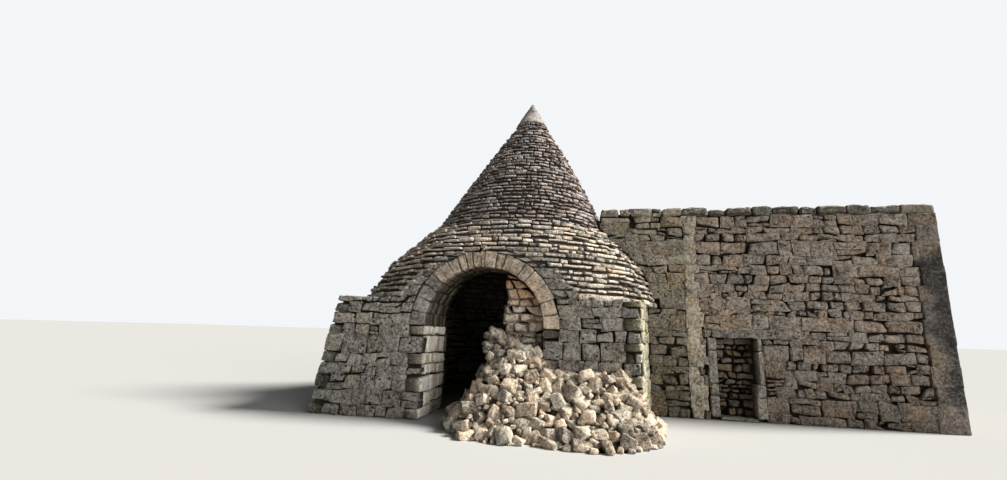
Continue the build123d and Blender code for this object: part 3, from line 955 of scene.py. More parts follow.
def front_half(side):
    """The trullo's front wall on one side of the arch, with the jamb inside the arch."""
    rng = dice("front_half", side > 0)
    name, neighbour = [("front_wall_left", -direction("left_wall")),
                       ("front_wall_right", direction("right_wall"))][side > 0]
    foot, top_corner = TRULLO_WALLS["front"][side > 0], TRULLO_WALLS["front"][2 + (side > 0)]
    outer_end = (along_slant("front", neighbour), 1 if side < 0 else 0)

    def outer(v):
        return foot[0] + v / WALL_TOP * (top_corner[0] - foot[0]) - ARCH_X

    def inner(v):
        if v < ARCH_SPRING - SLIGHT:
            return side * INTRADOS
        return side * half_chord(EXTRADOS, min(max(v - ARCH_SPRING, 0), EXTRADOS))

    def spans(bottom, top, number):
        under = bottom < ARCH_SPRING - SLIGHT
        limits = {bottom: inner(bottom + HAIR), top: inner(top - ROUND_EASE if under else top)}
        ends = [(outer, outer_end), (limits.get, (0.0, 1) if under else None)]
        (left, left_end), (right, right_end) = ends[::-side]
        return between(left, right, left_end, right_end)(bottom, top, number)

    corners = lay(front_patch(FRONT_Y), spans, TRULLO_LEVELS, rng, **FRONT_LAY)
    stones = [shaped(corners, WALL_GRID, "front", rng)]
    beds = [bedding(corners, rng, *WALL_BEDS)]
    jamb_x = ARCH_X + side * INTRADOS
    reach = ROOM_Y - half_chord(ROOM_RADIUS, jamb_x - ROOM_X) - FRONT_Y
    jamb = flat_patch(jamb_x, FRONT_Y + (reach if side > 0 else 0), (0, -side))
    jamb_spans = between(0.0, reach, *[(0.0, 0), None][::-side])
    levels = [level for level in TRULLO_LEVELS if level[0] <= ARCH_SPRING + HAIR]
    inside = shaped(lay(jamb, jamb_spans, levels, rng, **JAMB_LAY), WALL_GRID, "jamb", rng)
    in_front = inside[0][:, 1] < FRONT_Y + JAMB_EDGE
    inside[2][in_front, :2] -= JAMB_EDGE_LOOK
    make_piece(name + "_masonry", [name], stones, GREY_WALL, [recessed(name, outer_walls)],
               beds=beds)
    make_piece(name.replace("front_wall", "arch_jamb_stones"), [], [inside], JAMB_STONE_PAINTED_LIGHT)


# How far the flat stones on the trullo's walls reach under the roof's foot, and their mean width
LEDGE_UNDER_ROOF = 0.3
LEDGE_ROW = 0.4


def ledge():
    """Flat stones on top of the trullo's walls, outside the roof's foot."""
    rng = dice("ledge")
    outline = np.array([TRULLO_WALLS[name][2][:2] for name in TRULLO_ORDER])
    front, rear = outline[:, 1].min(), outline[:, 1].max()

    def limits(v):
        crossings = []
        for start, end in zip(outline, np.roll(outline, -1, axis=0)):
            if (start[1] - v) * (end[1] - v) < 0:
                crossings.append(start[0] + (end[0] - start[0]) * (v - start[1]) / (end[1] - start[1]))
        return min(crossings) + STONE_DEPTH, max(crossings) - STONE_DEPTH

    def spans(bottom, top, number):
        lefts, rights = zip(*(limits(np.clip(v, front + SLIGHT, rear - SLIGHT)) for v in (bottom, top)))
        circle = [half_chord(EAVE_RADIUS - LEDGE_UNDER_ROOF, v - ROOM_Y) for v in (bottom, top)]
        return [(*lefts, ROOM_X - circle[0], ROOM_X - circle[1]),
                (ROOM_X + circle[0], ROOM_X + circle[1], *rights)]

    levels = course_levels([FRONT_Y + STONE_DEPTH, rear - STONE_DEPTH], LEDGE_ROW, rng)
    corners = lay(level_patch(WALL_TOP), spans, levels, rng, **LEDGE_LAY)
    make_piece("trullo_wall_ledge", [], [shaped(corners, SIDE_GRID, "level", rng)], GREY_WALL)


# The ring's stones past this turn, in radians from the right springing, are as grey as the wall beside them
ARCH_GREY_TURN = 2.3
ARCH_GREY_HUE = -0.6
ARCH_GREY_TONE = 0.5
# The ring's narrowest stones stand at this share of its half turn
NARROWEST_TURN = 0.55
# How wide they are there and what is added beside it, in radians, how soon, and how much widths differ
RING_WIDTH = (0.105, 0.12)
WIDEST_AFTER = 1.25
RING_SPREAD = (0.85, 1.18)
# Lengths along the depth of the ring's front stones and of the rows behind, and their uneven undersides
RING_DEPTH = (0.38, 0.5)
ROW_DEPTH = (0.28, 0.48)
ROW_LEAST = 0.15
FRONT_DROP = 0.016
ROW_DROP = 0.02
# Hues of the ring's warm stones, and tones where stones are much alike
ARCH_HUES = (0.3, 1.0)
EVEN_TONES = (0.2, 0.8)
# How near the arch's round its faces lie, and how far the last row reaches into the room's wall
NEAR_ROUND = 0.03
INTO_WALL = 0.02
# How much shorter a stone may be than the ring is thick
RING_SHORT = 0.03
# How far a front stone's face stands back, at least and more, and that of a stone in the rows behind
FRONT_BACK = (0.012, 0.014)
ROW_BACK = 0.006
# Half the joint between two stones of the ring, and how far a row ends before the next
RING_JOINT = JOINT * 0.45
ROW_JOINT = 0.008


def arch_turns():
    """The joints of the arch's ring, in radians from the right springing: narrow stones at the crown."""
    rng = dice("arch_turns")
    steps = []
    while sum(steps) < pi:
        middle = abs(sum(steps) - NARROWEST_TURN * pi) / (0.5 * pi)
        width = RING_WIDTH[0] + RING_WIDTH[1] * min(1, middle * WIDEST_AFTER) ** 1.5
        steps.append(width * rng.uniform(*RING_SPREAD))
    turns = np.concatenate([[0], np.cumsum(steps)])
    turns = turns / turns[-1] * pi
    crown = np.searchsorted(turns, pi / 2)
    turns = np.insert(turns, crown, pi / 2)
    nearer_below = turns[crown] - turns[crown - 1] < turns[crown + 1] - turns[crown]
    return np.delete(turns, crown - 1 if nearer_below else crown + 1)


def arch_ring():
    """The arch's dressed front stones, and the rougher rows of its vault behind them."""
    turns = arch_turns()

    def back(turn):
        """How deep the arch goes at a turn, to the room's wall."""
        return ROOM_Y - half_chord(ROOM_RADIUS, ARCH_X + INTRADOS * cos(turn) - ROOM_X) - FRONT_Y

    def faces(centres, normals):
        radius = np.hypot(centres[:, 0] - ARCH_X, centres[:, 2] - ARCH_SPRING)
        return (np.abs(centres[:, 1] - FRONT_Y) < NEAR) | (np.abs(radius - INTRADOS) < NEAR_ROUND)

    halves = {"right": turns[turns <= pi / 2 + 1e-9], "left": turns[turns >= pi / 2 - 1e-9]}
    for side, chosen in halves.items():
        rng = dice("arch_ring", side == "left")
        rows, fronts = [], []
        for ends in zip(chosen, chosen[1:]):
            depth = rng.uniform(*RING_DEPTH)
            top = EXTRADOS - rng.uniform(0.0, RING_SHORT)
            edges = [(0.0, depth, rng.uniform(0.0, FRONT_DROP))]
            at, far = depth, back(sum(ends) / 2)
            while at < far - ROW_LEAST:
                step = min(rng.uniform(*ROW_DEPTH), far - at)
                edges.append((at, at + step, rng.uniform(0, ROW_DROP)))
                at += step
            for number, (near, past, up) in enumerate(edges):
                out = ROW_BACK if number else FRONT_BACK[0] + rng.uniform(0, FRONT_BACK[1])

                def place(i, j, k):
                    radius = (INTRADOS + NEAR + up, top)[j]
                    turn = ends[i] + RING_JOINT / radius * (1 - 2 * i)
                    return turn, radius, min((near + out, past - ROW_JOINT)[k], back(turn) + INTO_WALL)
                (rows if number else fronts).append(corners_of(place))
        grey = np.array(fronts)[:, 0, 0, 0, 0] > ARCH_GREY_TURN
        hues = np.where(grey, ARCH_GREY_HUE, rng.uniform(*ARCH_HUES, len(fronts)))
        tones = rng.uniform(*EVEN_TONES, len(fronts)) - ARCH_GREY_TONE * grey
        stones = shaped(arch_patch(*np.moveaxis(fronts, -1, 0)), BLOCK_GRID, "ring", rng, tones, hues)
        vault = shaped(arch_patch(*np.moveaxis(rows, -1, 0)), SIDE_GRID, "vault_row", rng)
        name = "arch_ring_" + side
        make_piece("arch_vault_rows_" + side, [], [vault], VAULT_ROWS_PAINTED_SHADE)
        make_piece(name + "_stones", [name], [stones], ARCH_STONE,
                   [recessed(name, faces, RING_CORE_RECESS)])


# The skirt's course from which slabs, and not blocks, lie in the face over the arch
SLAB_FACE_COURSE = 6
# The blocks' mean height, how much the slabs' courses wander, the last one's height and the gap under each
SHOULDER_COURSE = 0.19
SLAB_WANDER = 0.3
LAST_SLAB = 0.11
SLAB_GAP = 0.02


def spandrels():
    """The face between the arch's ring and the roof's edge: blocks beside the ring and slabs over it."""
    rng = dice("spandrels")
    patch = front_patch(FRONT_Y)
    middle = ROOM_X - ARCH_X
    front = ROOM_Y - FRONT_Y

    def spans(bottom, top, number):
        reach = [half_chord(float(roof_ring(min(v, top - SLIGHT))[1]), front) for v in (bottom, top)]
        left = [middle - half for half in reach]
        right = [middle + half for half in reach]
        if bottom > ARCH_SPRING + EXTRADOS - NEAR_ROUND:
            return [(*left, *right)]
        ring = [half_chord(EXTRADOS, v - ARCH_SPRING) + SLIGHT for v in (bottom, top)]
        return [(*left, -ring[0], -ring[1]), (*ring, *right)]

    levels = course_levels([WALL_TOP, SKIRT_RINGS[SLAB_FACE_COURSE][0]], SHOULDER_COURSE, rng)
    blocks = lay(patch, spans, levels, rng, **SHOULDER_LAY)
    levels = [(ring[0], SLAB_WANDER) for ring in SKIRT_RINGS[SLAB_FACE_COURSE:] if ring[3] > front]
    levels.append((levels[-1][0] + LAST_SLAB, SLAB_WANDER))
    slabs = lay(patch, spans, levels, rng, **SLAB_LAY)
    slabs[:, :, 0, :, 2] += SLAB_GAP
    stones = [shaped(blocks, WALL_GRID, "front", rng)]
    make_piece("arch_shoulder_blocks", [], stones, GREY_WALL)
    return shaped(slabs, WALL_GRID, "skirt", rng)


# The roof's slabs: mean length, depth, drop outwards, relief of their faces and the gap under each
SKIRT_SLABS = (0.31, 0.42, 0.02, 0.07, 0.058)
CONE_SLABS = (0.21, 0.3, 0.012, 0.055, 0.056)
# The share of a mean length under which a slab is joined to the one before, and what slabs differ by
LEAST_SLAB = 0.6
SLAB_LENGTHS = (0.45, 1.65)
SLAB_JOINTS = (0.006, 0.012, 0.022)
# How much lower the gap is in the lowest course
FIRST_GAP = 0.25
# How the relief of faces, the drop and the gap are shared out among the slabs
FACE_SHARE = (-0.6, 0.4)
DROP_SHARE = (0.3, 1.7)
GAP_SHARE = (0.5, 1.35)
# How far slabs sink or stand skew, and how far a slab's upper edge stands back
SLAB_SINK = 0.007
SLAB_SKEW = 0.03
EDGE_BACK = 0.014
# The waves in which courses rise and fall, in metres, and their number round the roof
RING_WAVES = ((0.008, 3), (0.006, 7))
# How far a slab stays under the course above, and how much wider its joint may be
UNDER_NEXT = 0.003
JOINT_MORE = 0.006
# How far past the cut front the first and last slabs may end, in radians
PAST_CUT = (-0.005, 0.02)


def ring_courses(rings, slab, rng, front=None):
    """The corners of slabs laid in rings round the leaning roof, which a front plane may cut off."""
    mean_width, depth, tilt, jitter, gap = slab
    rows = []
    for bottom, top, middle, radius in rings:
        gap_here = gap * (FIRST_GAP if bottom < WALL_TOP + SLIGHT else 1)
        turn = rng.uniform(0, 1)
        end = turn + 2 * pi
        if front is not None and radius > ROOM_Y - front:
            cut = np.arcsin((ROOM_Y - front) / radius)
            turn = rng.uniform(-PAST_CUT[1], -PAST_CUT[0]) - cut
            end = pi + cut + rng.uniform(*PAST_CUT)
        wave = rng.uniform(0, 2 * pi, 2)
        least = LEAST_SLAB * mean_width / radius
        while turn < end - least:
            step = mean_width * rng.uniform(*SLAB_LENGTHS) / radius
            if end - turn - step < least:
                step = end - turn
            face = radius + jitter * rng.uniform(*FACE_SHARE)
            drop = tilt * rng.uniform(*DROP_SHARE)
            thin = gap_here * rng.uniform(*GAP_SHARE)
            sink = rng.uniform(-SLAB_SINK, SLAB_SINK)
            for (size, count), phase in zip(RING_WAVES, wave):
                sink += size * sin(count * turn + phase)
            skew = rng.uniform(-SLAB_SKEW, SLAB_SKEW)
            apart = rng.choice(SLAB_JOINTS)

            def place(i, j, k):
                z = (bottom + thin, top - UNDER_NEXT)[j] + sink - (0 if k else drop)
                out = face - depth if k else face + skew * (2 * i - 1) - EDGE_BACK * j
                angle = turn + i * step + (apart + JOINT_MORE * rng.random()) / radius * (1 - 2 * i)
                return middle + out * cos(angle), ROOM_Y + out * sin(angle), z
            rows.append(corners_of(place))
            turn += step
    return np.array(rows)


# How straight the roof's cut front looks ahead, and how uneven its slabs are there
CUT_FACING = 0.98
CUT_UNEVEN = 0.03


def outer_roof(centres, normals):
    """Chooses the roof's outer faces, and those cut off at its front."""
    middle, radius = roof_ring(centres[:, 2])
    radial = np.stack([centres[:, 0] - middle, centres[:, 1] - ROOM_Y], 1)
    reach = np.linalg.norm(radial, axis=1)
    facing = (radial / reach[:, None] * normals[:, :2]).sum(1)
    return ((facing > 0.5) & (reach > radius - RING_CORE_RECESS)) | (normals[:, 1] < -CUT_FACING)


# The skirt's segments, in degrees from the right
SKIRT_SEGMENTS = {"front": (-132, -48), "right": (-48, 45), "rear": (45, 135), "left": (135, 228)}


def roof_skirt():
    """The lower roof of larger and rougher slabs, cut off over the arch."""
    rng = dice("skirt")
    corners = ring_courses(RINGS[:SKIRT_COURSES], SKIRT_SLABS, rng, ROOF_FRONT_Y)
    middles = corners.mean((1, 2, 3))
    cut = ROOF_FRONT_Y + rng.uniform(0.0, CUT_UNEVEN, corners.shape[:4])
    corners[..., 1] = np.maximum(corners[..., 1], cut)
    turns = np.degrees(np.arctan2(middles[:, 1] - ROOM_Y, middles[:, 0] - ROOM_X))
    for name, (start, stop) in SKIRT_SEGMENTS.items():
        chosen = ((turns >= start) & (turns < stop)) | ((turns + 360 >= start) & (turns + 360 < stop))
        stones = [shaped(corners[chosen], SLAB_GRID, "skirt", rng)]
        node = "roof_skirt_" + name
        cores = [recessed(node, outer_roof)]
        if name == "front":
            stones.append(spandrels())
        make_piece(node + "_slabs", [node], stones, SKIRT_STONE, cores, ROOF_EARTH)


def cone():
    """The upper roof of thin slabs, in its tiers."""
    for number, node in enumerate(CONE_NODES):
        rng = dice("cone", number + 1)
        first = SKIRT_COURSES + TIER_COURSES * number
        corners = ring_courses(RINGS[first:first + TIER_COURSES], CONE_SLABS, rng)
        stones = [shaped(corners, SLAB_GRID, "cone", rng)]
        make_piece(node + "_slabs", [node], stones, ROOF_STONE,
                   [recessed(node, outer_roof, CONE_CORE_RECESS)], ROOF_EARTH)


# The pinnacle's collar, the radius of its rounded tip, and its sides
COLLAR_HEIGHT = 0.06
COLLAR_REACH = 0.025
TIP_RADIUS = 0.05
PINNACLE_SIDES = 44
PINNACLE_RINGS = 22
# The pinnacle's tone, hue, painted joint shade, of which it has none, and seed
PINNACLE_LOOK = (0.5, 0.5, 0.0, 0.3)
# Heights on the collar and how far it stands back there, and the turns at which the tip is rounded
COLLAR_PROFILE = ((0.0, 0.008), (0.014, 0.0), (COLLAR_HEIGHT - 0.016, 0.003))
TIP_TURNS = (0.5, 1.0, 1.4)
# Waves in its surface, as a share of the radius, by turns and radians per metre, and its roughness
PINNACLE_WAVES = ((0.02, 3, 9), (0.015, 7, -23))
PINNACLE_ROUGHNESS = 0.008


def pinnacle():
    """The pinnacle's weathered cone on its low collar, a little uneven."""
    rng = dice("pinnacle")
    bottom, top = low["pinnacle"][2], high["pinnacle"][2]
    places = node_arrays("pinnacle")[0]
    tip_x = places[places[:, 2] > top - SLIGHT][:, 0].mean()
    foot_x = float(roof_ring(bottom)[0])
    collar = (high["pinnacle"][0] - low["pinnacle"][0]) / 2
    foot = collar - COLLAR_REACH
    shoulder = top - bottom - TIP_RADIUS
    profile = [(rise, collar - back) for rise, back in COLLAR_PROFILE]
    for share in np.linspace(0, 1, PINNACLE_RINGS):
        rise = COLLAR_HEIGHT + share * (shoulder - COLLAR_HEIGHT)
        profile.append((rise, foot + share * (TIP_RADIUS - foot)))
    for turn in TIP_TURNS:
        profile.append((shoulder + TIP_RADIUS * sin(turn), TIP_RADIUS * cos(turn)))
    height, radius = np.array(profile).T[..., None]
    turns = 2 * pi * np.arange(PINNACLE_SIDES) / PINNACLE_SIDES
    uneven = 1
    for size, around, upward in PINNACLE_WAVES:
        uneven = uneven + size * np.sin(around * turns + upward * height)
    out = radius * (uneven + PINNACLE_ROUGHNESS * rng.normal(size=uneven.shape))
    middle = foot_x + (tip_x - foot_x) * height / (top - bottom)
    points = np.stack([middle + out * np.cos(turns), ROOM_Y + out * np.sin(turns),
                       np.broadcast_to(bottom + height, out.shape)], -1).reshape(-1, 3)
    count = len(points)
    points = np.vstack([points, (foot_x, ROOM_Y, bottom), (tip_x, ROOM_Y, top)])
    side = np.arange(PINNACLE_SIDES)
    after = (side + 1) % PINNACLE_SIDES
    starts = np.arange(0, count - PINNACLE_SIDES, PINNACLE_SIDES)[:, None]
    faces = np.stack([starts + side, starts + after, starts + after + PINNACLE_SIDES,
                      starts + side + PINNACLE_SIDES], -1).reshape(-1, 4)
    last = count - PINNACLE_SIDES
    caps = np.vstack([np.stack([np.full(len(side), count), after, side], 1),
                      np.stack([np.full(len(side), count + 1), last + side, last + after], 1)])
    stones = [(np.clip(points, BOX_LOW, BOX_HIGH), faces, np.tile(PINNACLE_LOOK, (len(points), 1))),
              (np.zeros((0, 3)), caps - len(points), np.zeros((0, 4)))]
    make_piece("pinnacle_stone_cone", ["pinnacle"], stones, PINNACLE_STONE)


# The vault's rings: their mean height and how much it differs, a stone's mean length, lengths and depth
VAULT_RING = 0.17
VAULT_SPREAD = 0.25
VAULT_LENGTH = 0.38
VAULT_LENGTHS = (0.6, 1.5)
VAULT_DEPTH = 0.16
# Half the joints beside and over its stones, and the least turn in radians that a last stone fills
VAULT_JOINTS = (0.006, 0.008)
LEAST_TURN = 0.1
# At how many heights the vault is measured, how near each, and how far stones stay from top and arch
VAULT_SAMPLES = 24
VAULT_NEAR = 0.25
VAULT_EASE = 0.05


def room_wall():
    """The stones of the room's wall, laid so that they face inwards."""
    rng = dice("room")
    half_turn = pi * ROOM_RADIUS

    def opening(v):
        half = INTRADOS if v < ARCH_SPRING else half_chord(EXTRADOS, v - ARCH_SPRING)
        return np.arcsin(min(half / ROOM_RADIUS, 1)) * ROOM_RADIUS + NEAR_ROUND

    def spans(bottom, top, number):
        start = (opening(bottom + HAIR), opening(top - HAIR))
        return [(*start, half_turn, half_turn),
                (half_turn, half_turn, 2 * half_turn - start[0], 2 * half_turn - start[1])]

    corners = lay(room_patch, spans, TRULLO_LEVELS, rng, **ROOM_LAY)
    stones = [shaped(corners, LINING_GRID, "level", rng)]
    beds = [bedding(corners, rng, *ROOM_BEDS)]
    make_piece("room_wall_stones", [], stones, ROOM_STONE, beds=beds, bed_finish=EARTH)
    return rng


def room_vault(rng):
    """The rings of the room's vault, whose draws go on from those of its wall."""
    dome = np.vstack([node_arrays("vault_haunch_rear")[0], node_arrays("cone_tier_1")[0]])
    reach = np.hypot(dome[:, 0] - ROOM_X, dome[:, 1] - ROOM_Y)
    inside = reach < ROOM_RADIUS + SLIGHT
    inner_height, inner_reach = dome[inside, 2], reach[inside]
    top = inner_height.max()
    heights = np.linspace(WALL_TOP, top, VAULT_SAMPLES)
    radii = []
    for height in heights:
        near = np.abs(inner_height - height) < VAULT_NEAR
        radii.append(inner_reach[near].mean() if near.any() else ROOM_RADIUS)
    courses = course_levels([WALL_TOP, top - VAULT_EASE], VAULT_RING, rng, VAULT_SPREAD)
    levels = [course[0] for course in courses]
    side_joint, level_joint = VAULT_JOINTS
    rows = []
    for bottom, above in zip(levels, levels[1:]):
        radius = float(np.interp((bottom + above) / 2, heights, radii))
        turn = 0.0
        while turn < 2 * pi - LEAST_TURN:
            step = min(VAULT_LENGTH * rng.uniform(*VAULT_LENGTHS) / radius, 2 * pi - turn)

            def place(i, j, k):
                out = radius + SLIGHT * rng.random() + VAULT_DEPTH * k
                angle = turn + i * step + side_joint / radius * (1 - 2 * i)
                z = (bottom + level_joint, above - level_joint)[j]
                return ROOM_X + out * cos(angle), ROOM_Y + out * sin(angle), z
            rows.append(corners_of(place))
            turn += step
    rows = np.array(rows)
    middles = rows.mean((1, 2, 3))
    in_arch = np.hypot(middles[:, 0] - ARCH_X, middles[:, 2] - ARCH_SPRING) < EXTRADOS + VAULT_EASE
    rows = rows[~(in_arch & (middles[:, 1] < ROOM_Y))]
    stones = [shaped(rows, LINING_GRID, "room_vault", rng)]
    make_piece("room_vault_stones", [], stones, ROOM_STONE)


# The infill's stones are grey up to this height, and warmer above it by this much per metre
INFILL_GREY_TO = 1.9
INFILL_WARMTH = 1.3
# How much the warmth differs, and its least and most in the stones' tones and hues
WARMTH_SPREAD = 0.3
INFILL_TONES = (-1.0, 0.5)
INFILL_HUES = (-0.6, 1.4)
# Its courses' mean height, how far they stay under the arch, and how far front and back stones overlap
INFILL_COURSE = 0.17
INFILL_UNDER = 0.02
INFILL_LAP = 0.05
# How far its courses end before or past its left edge
INFILL_RAGGED = (-0.05, 0.1)


def arch_infill():
    """The rough dry wall in the right of the arch, with its ragged left end."""
    rng = dice("infill")
    node = "arch_infill"
    front, back = low[node][1], high[node][1]
    points = node_arrays(node)[0]
    foot_x = low[node][0]
    edge_x = points[points[:, 2] > ARCH_SPRING - SLIGHT][:, 0].min()
    levels = course_levels([0, high[node][2] - INFILL_UNDER], INFILL_COURSE, rng)
    ragged = rng.uniform(*INFILL_RAGGED, len(levels))

    def left(v):
        return foot_x + (edge_x - foot_x) * min(v / ARCH_SPRING, 1) - ARCH_X

    def right(v):
        return half_chord(INTRADOS, min(max(v - ARCH_SPRING, 0), INTRADOS - SLIGHT))

    def spans(bottom, top, number):
        return [(left(bottom) + ragged[number], left(top) + ragged[number], right(bottom), right(top))]

    stones, beds = [], []
    for patch, rule, grid in ((front_patch(front), spans, WALL_GRID),
                              (back_patch(back), mirrored(spans), LINING_GRID)):
        corners = lay(patch, rule, levels, rng, depth=(back - front) / 2 + INFILL_LAP, **INFILL_LAY)
        warmth = INFILL_WARMTH * (corners[..., 2].mean((1, 2, 3)) - INFILL_GREY_TO)
        warmth += rng.uniform(-WARMTH_SPREAD, WARMTH_SPREAD, len(corners))
        tones = rng.uniform(0, 1, len(corners)) + 2 * np.clip(warmth, *INFILL_TONES)
        stones.append(shaped(corners, grid, "infill", rng, tones, np.clip(warmth, *INFILL_HUES)))
        beds.append(bedding(corners, rng, *INFILL_BEDS))
    planes = on_planes((1, front), (1, back), (0, edge_x), (0, high[node][0]))

    def faces(centres, normals):
        return planes(centres, normals) | (normals[:, 0] < -FACING)
    make_piece("arch_infill_stones", [node], stones, INFILL_STONE,
               [recessed(node, faces, INFILL_RECESS)], beds=beds, bed_finish=SCREE_STONE)


# The mean height of the house's courses, and how much they differ
HOUSE_COURSE = 0.235
HOUSE_SPREAD = 0.42
HOUSE_MARKS = [0, DOOR_TOP, LINTEL[1][2], HOUSE_TOP]
HOUSE_LEVELS = course_levels(HOUSE_MARKS, HOUSE_COURSE, dice("house_levels"), HOUSE_SPREAD)
HOUSE_HEIGHTS = [height for height, free in HOUSE_LEVELS]
HOUSE_FACES = on_planes((0, HOUSE_X[0]), (0, HOUSE_X[1]), (1, HOUSE_Y[0]), (1, HOUSE_Y[1]))
# A corner block takes two courses where they are lower than this, and its short side is this share
TWO_COURSES = 0.62
SHORT_SIDE = 0.62
SHORTER_FRONT = (0.78, 0.95)


def quoin_blocks():
    """The right corner's blocks: bottom, top, length along the front and length along the side."""
    rng = dice("quoin_sizes")
    width = high["corner_quoins"][0] - low["corner_quoins"][0]
    last = len(HOUSE_HEIGHTS) - 1
    blocks, start = [], 0
    while start < last:
        stop = min(start + 2, last)
        if HOUSE_HEIGHTS[stop] - HOUSE_HEIGHTS[start] >= TWO_COURSES:
            stop = start + 1
        sizes = (width, width * SHORT_SIDE)
        if len(blocks) % 2:
            sizes = (width * rng.uniform(*SHORTER_FRONT), width)
        blocks.append((HOUSE_HEIGHTS[start], HOUSE_HEIGHTS[stop], *sizes))
        start = stop
    return blocks


QUOIN_BLOCKS = quoin_blocks()


def quoin_length(height, which):
    for bottom, top, *lengths in QUOIN_BLOCKS:
        if bottom - 1e-6 <= height < top - 1e-6:
            return lengths[which]
    return QUOIN_BLOCKS[-1][2 + which]


# How far a dark stain reaches from the house's right corner, at the ground and per metre above it
QUOIN_STAIN = (0.3, 0.1)
# Its top, and over how many metres it fades in from the ground, out at its top and out sidewards
QUOIN_STAIN_TOP = 4.0
QUOIN_STAIN_FADE = (1.4, 0.25, 0.3)
# How much it takes from tone and hue
QUOIN_STAIN_LOOK = (1.5, 1.4)
# How its edge wanders: metres, radians per metre of height and the start
STAIN_WAVES = ((0.09, 5, 0), (0.06, 13, 1))
# How far the blocks' outer faces stand back, and the joint at their ends
QUOIN_EASE = (0.004, 0.012)
QUOIN_JOINT = 0.008


def corner_quoins():
    """The right corner's large blocks, with a dark stain that runs down them."""
    rng = dice("corner_quoins")
    rows = []
    for bottom, top, along, aside in QUOIN_BLOCKS:
        ease = rng.uniform(*QUOIN_EASE, 4)
        rows.append(corners_of(lambda i, j, k: (
            HOUSE_X[1] - (along - QUOIN_JOINT, ease[0])[i], HOUSE_Y[0] + (ease[1], aside - QUOIN_JOINT)[k],
            (max(bottom - NEAR - HAIR, 0), top + NEAR)[j])))
    tones = rng.uniform(*EVEN_TONES, len(rows))
    points, faces, colour = shaped(np.array(rows), BLOCK_GRID, "quoin", rng, tones)
    height = points[:, 2]
    edge = HOUSE_X[1] - points[:, 0]
    for size, wave, phase in STAIN_WAVES:
        edge += size * np.sin(wave * height + phase)
    rise, fall, aside = QUOIN_STAIN_FADE
    stain = np.clip((QUOIN_STAIN[0] + QUOIN_STAIN[1] * height - edge) / aside, 0, 1)
    stain *= np.clip(height / rise, 0, 1) * np.clip((QUOIN_STAIN_TOP - height) / fall, 0, 1)
    colour[:, :2] -= stain[:, None] * QUOIN_STAIN_LOOK
    core = recessed("corner_quoins", on_planes((0, HOUSE_X[1]), (1, HOUSE_Y[0])))
    make_piece("corner_quoin_blocks", ["corner_quoins"], [(points, faces, colour)],
               QUOIN_STONE, [core])


# How the old corner's blocks differ in length: shares of its width, and radians per metre of height
OLD_QUOIN_WAVES = ((0.22, 37), (0.12, 91))


def old_quoin_end(bottom):
    """Where the old corner's block ends in the course with this foot, from the arch."""
    end = high["old_corner_quoins"][0]
    width = end - low["old_corner_quoins"][0]
    return end - ARCH_X + width * sum(share * sin(wave * bottom) for share, wave in OLD_QUOIN_WAVES)


def old_quoins():
    """The old corner of pale mortared stones at the house's left."""
    rng = dice("old_quoins")
    node = "old_corner_quoins"
    start = low[node][0] - ARCH_X

    def spans(bottom, top, number):
        return [(start, start, old_quoin_end(bottom), old_quoin_end(bottom))]
    corners = lay(front_patch(low[node][1]), spans, HOUSE_LEVELS, rng, **OLD_QUOIN_LAY)
    stones = [shaped(corners, WALL_GRID, "old_quoin", rng), bedding(corners, rng, *MORTAR_BEDS)]
    core = recessed(node, on_planes((1, low[node][1])), OLD_QUOIN_RECESS)
    make_piece(node + "_stones", [node], stones, OLD_QUOIN_STONE, [core], LINK_STONE)


# Where a stone is missing from the house's front and the link wall: its ends from the arch and its height
FRONT_HOLES = [(8.70, 9.02, 1.76), (7.74, 7.95, 3.40), (4.93, 5.0, 1.1)]
LINK_HOLES = [(3.74, 3.98, 2.73), (3.3, 3.42, 4.6)]
# Where the remnant in a hole stands along and up it, and its half size, as shares of the hole
REMNANT_PLACE = 0.38
REMNANT_HALF = 0.36
# How deep its middle lies and half its own depth, in metres, and its dip in radians
REMNANT_DEPTH = (0.13, 0.08)
REMNANT_DIP = 0.1


def house_front():
    """The house's front between its corners and round the doorway, with remnants in the holes."""
    rng = dice("house_front")
    jambs = (low["door_jamb_left"][0] - ARCH_X, high["door_jamb_right"][0] - ARCH_X)
    lintel = (LINTEL[0][0] - ARCH_X, LINTEL[1][0] - ARCH_X)

    def spans(bottom, top, number):
        middle = (bottom + top) / 2
        start = old_quoin_end(bottom)
        end = HOUSE_X[1] - ARCH_X - quoin_length(middle, 0)
        if middle >= LINTEL[1][2]:
            return [(start, start, end, end)]
        left, right = jambs if middle < DOOR_TOP else lintel
        return [(start, start, left, left), (right, right, end, end)]

    corners = lay(front_patch(HOUSE_Y[0]), around_holes(spans, FRONT_HOLES), HOUSE_LEVELS, rng, **HOUSE_LAY)
    stones = [shaped(corners, WALL_GRID, "house", rng)]
    rows = []
    for left, right, height in FRONT_HOLES:
        bottom = max(level for level in HOUSE_HEIGHTS if level <= height)
        top = min(level for level in HOUSE_HEIGHTS if level > height)
        middle = (ARCH_X + left + REMNANT_PLACE * (right - left), HOUSE_Y[0] + REMNANT_DEPTH[0],
                  bottom + REMNANT_PLACE * (top - bottom))
        half = ((right - left) * REMNANT_HALF, REMNANT_DEPTH[1], (top - bottom) * REMNANT_HALF)
        rows.append(tumbled(middle, half, 0.0, rng, REMNANT_DIP))
    stones.append(loose(rows, rng))
    beds = [bedding(corners, rng, *HOUSE_BEDS)]
    names = ["house_front_wall_left", "house_front_wall_right", "house_front_wall_over_door"]
    cores = [recessed(name, HOUSE_FACES) for name in names]
    make_piece("house_front_masonry", names, stones, HOUSE_WALL, cores, beds=beds)


def house_side(name, patch, spans):
    """The house's left, right or rear wall."""
    rng = dice(name)
    corners = lay(patch, spans, HOUSE_LEVELS, rng, **HOUSE_LAY)
    stones = [shaped(corners, SIDE_GRID, "house", rng)]
    make_piece(name + "_masonry", [name], stones, HOUSE_WALL, [recessed(name, HOUSE_FACES)],
               beds=[bedding(corners, rng, *HOUSE_BEDS)])


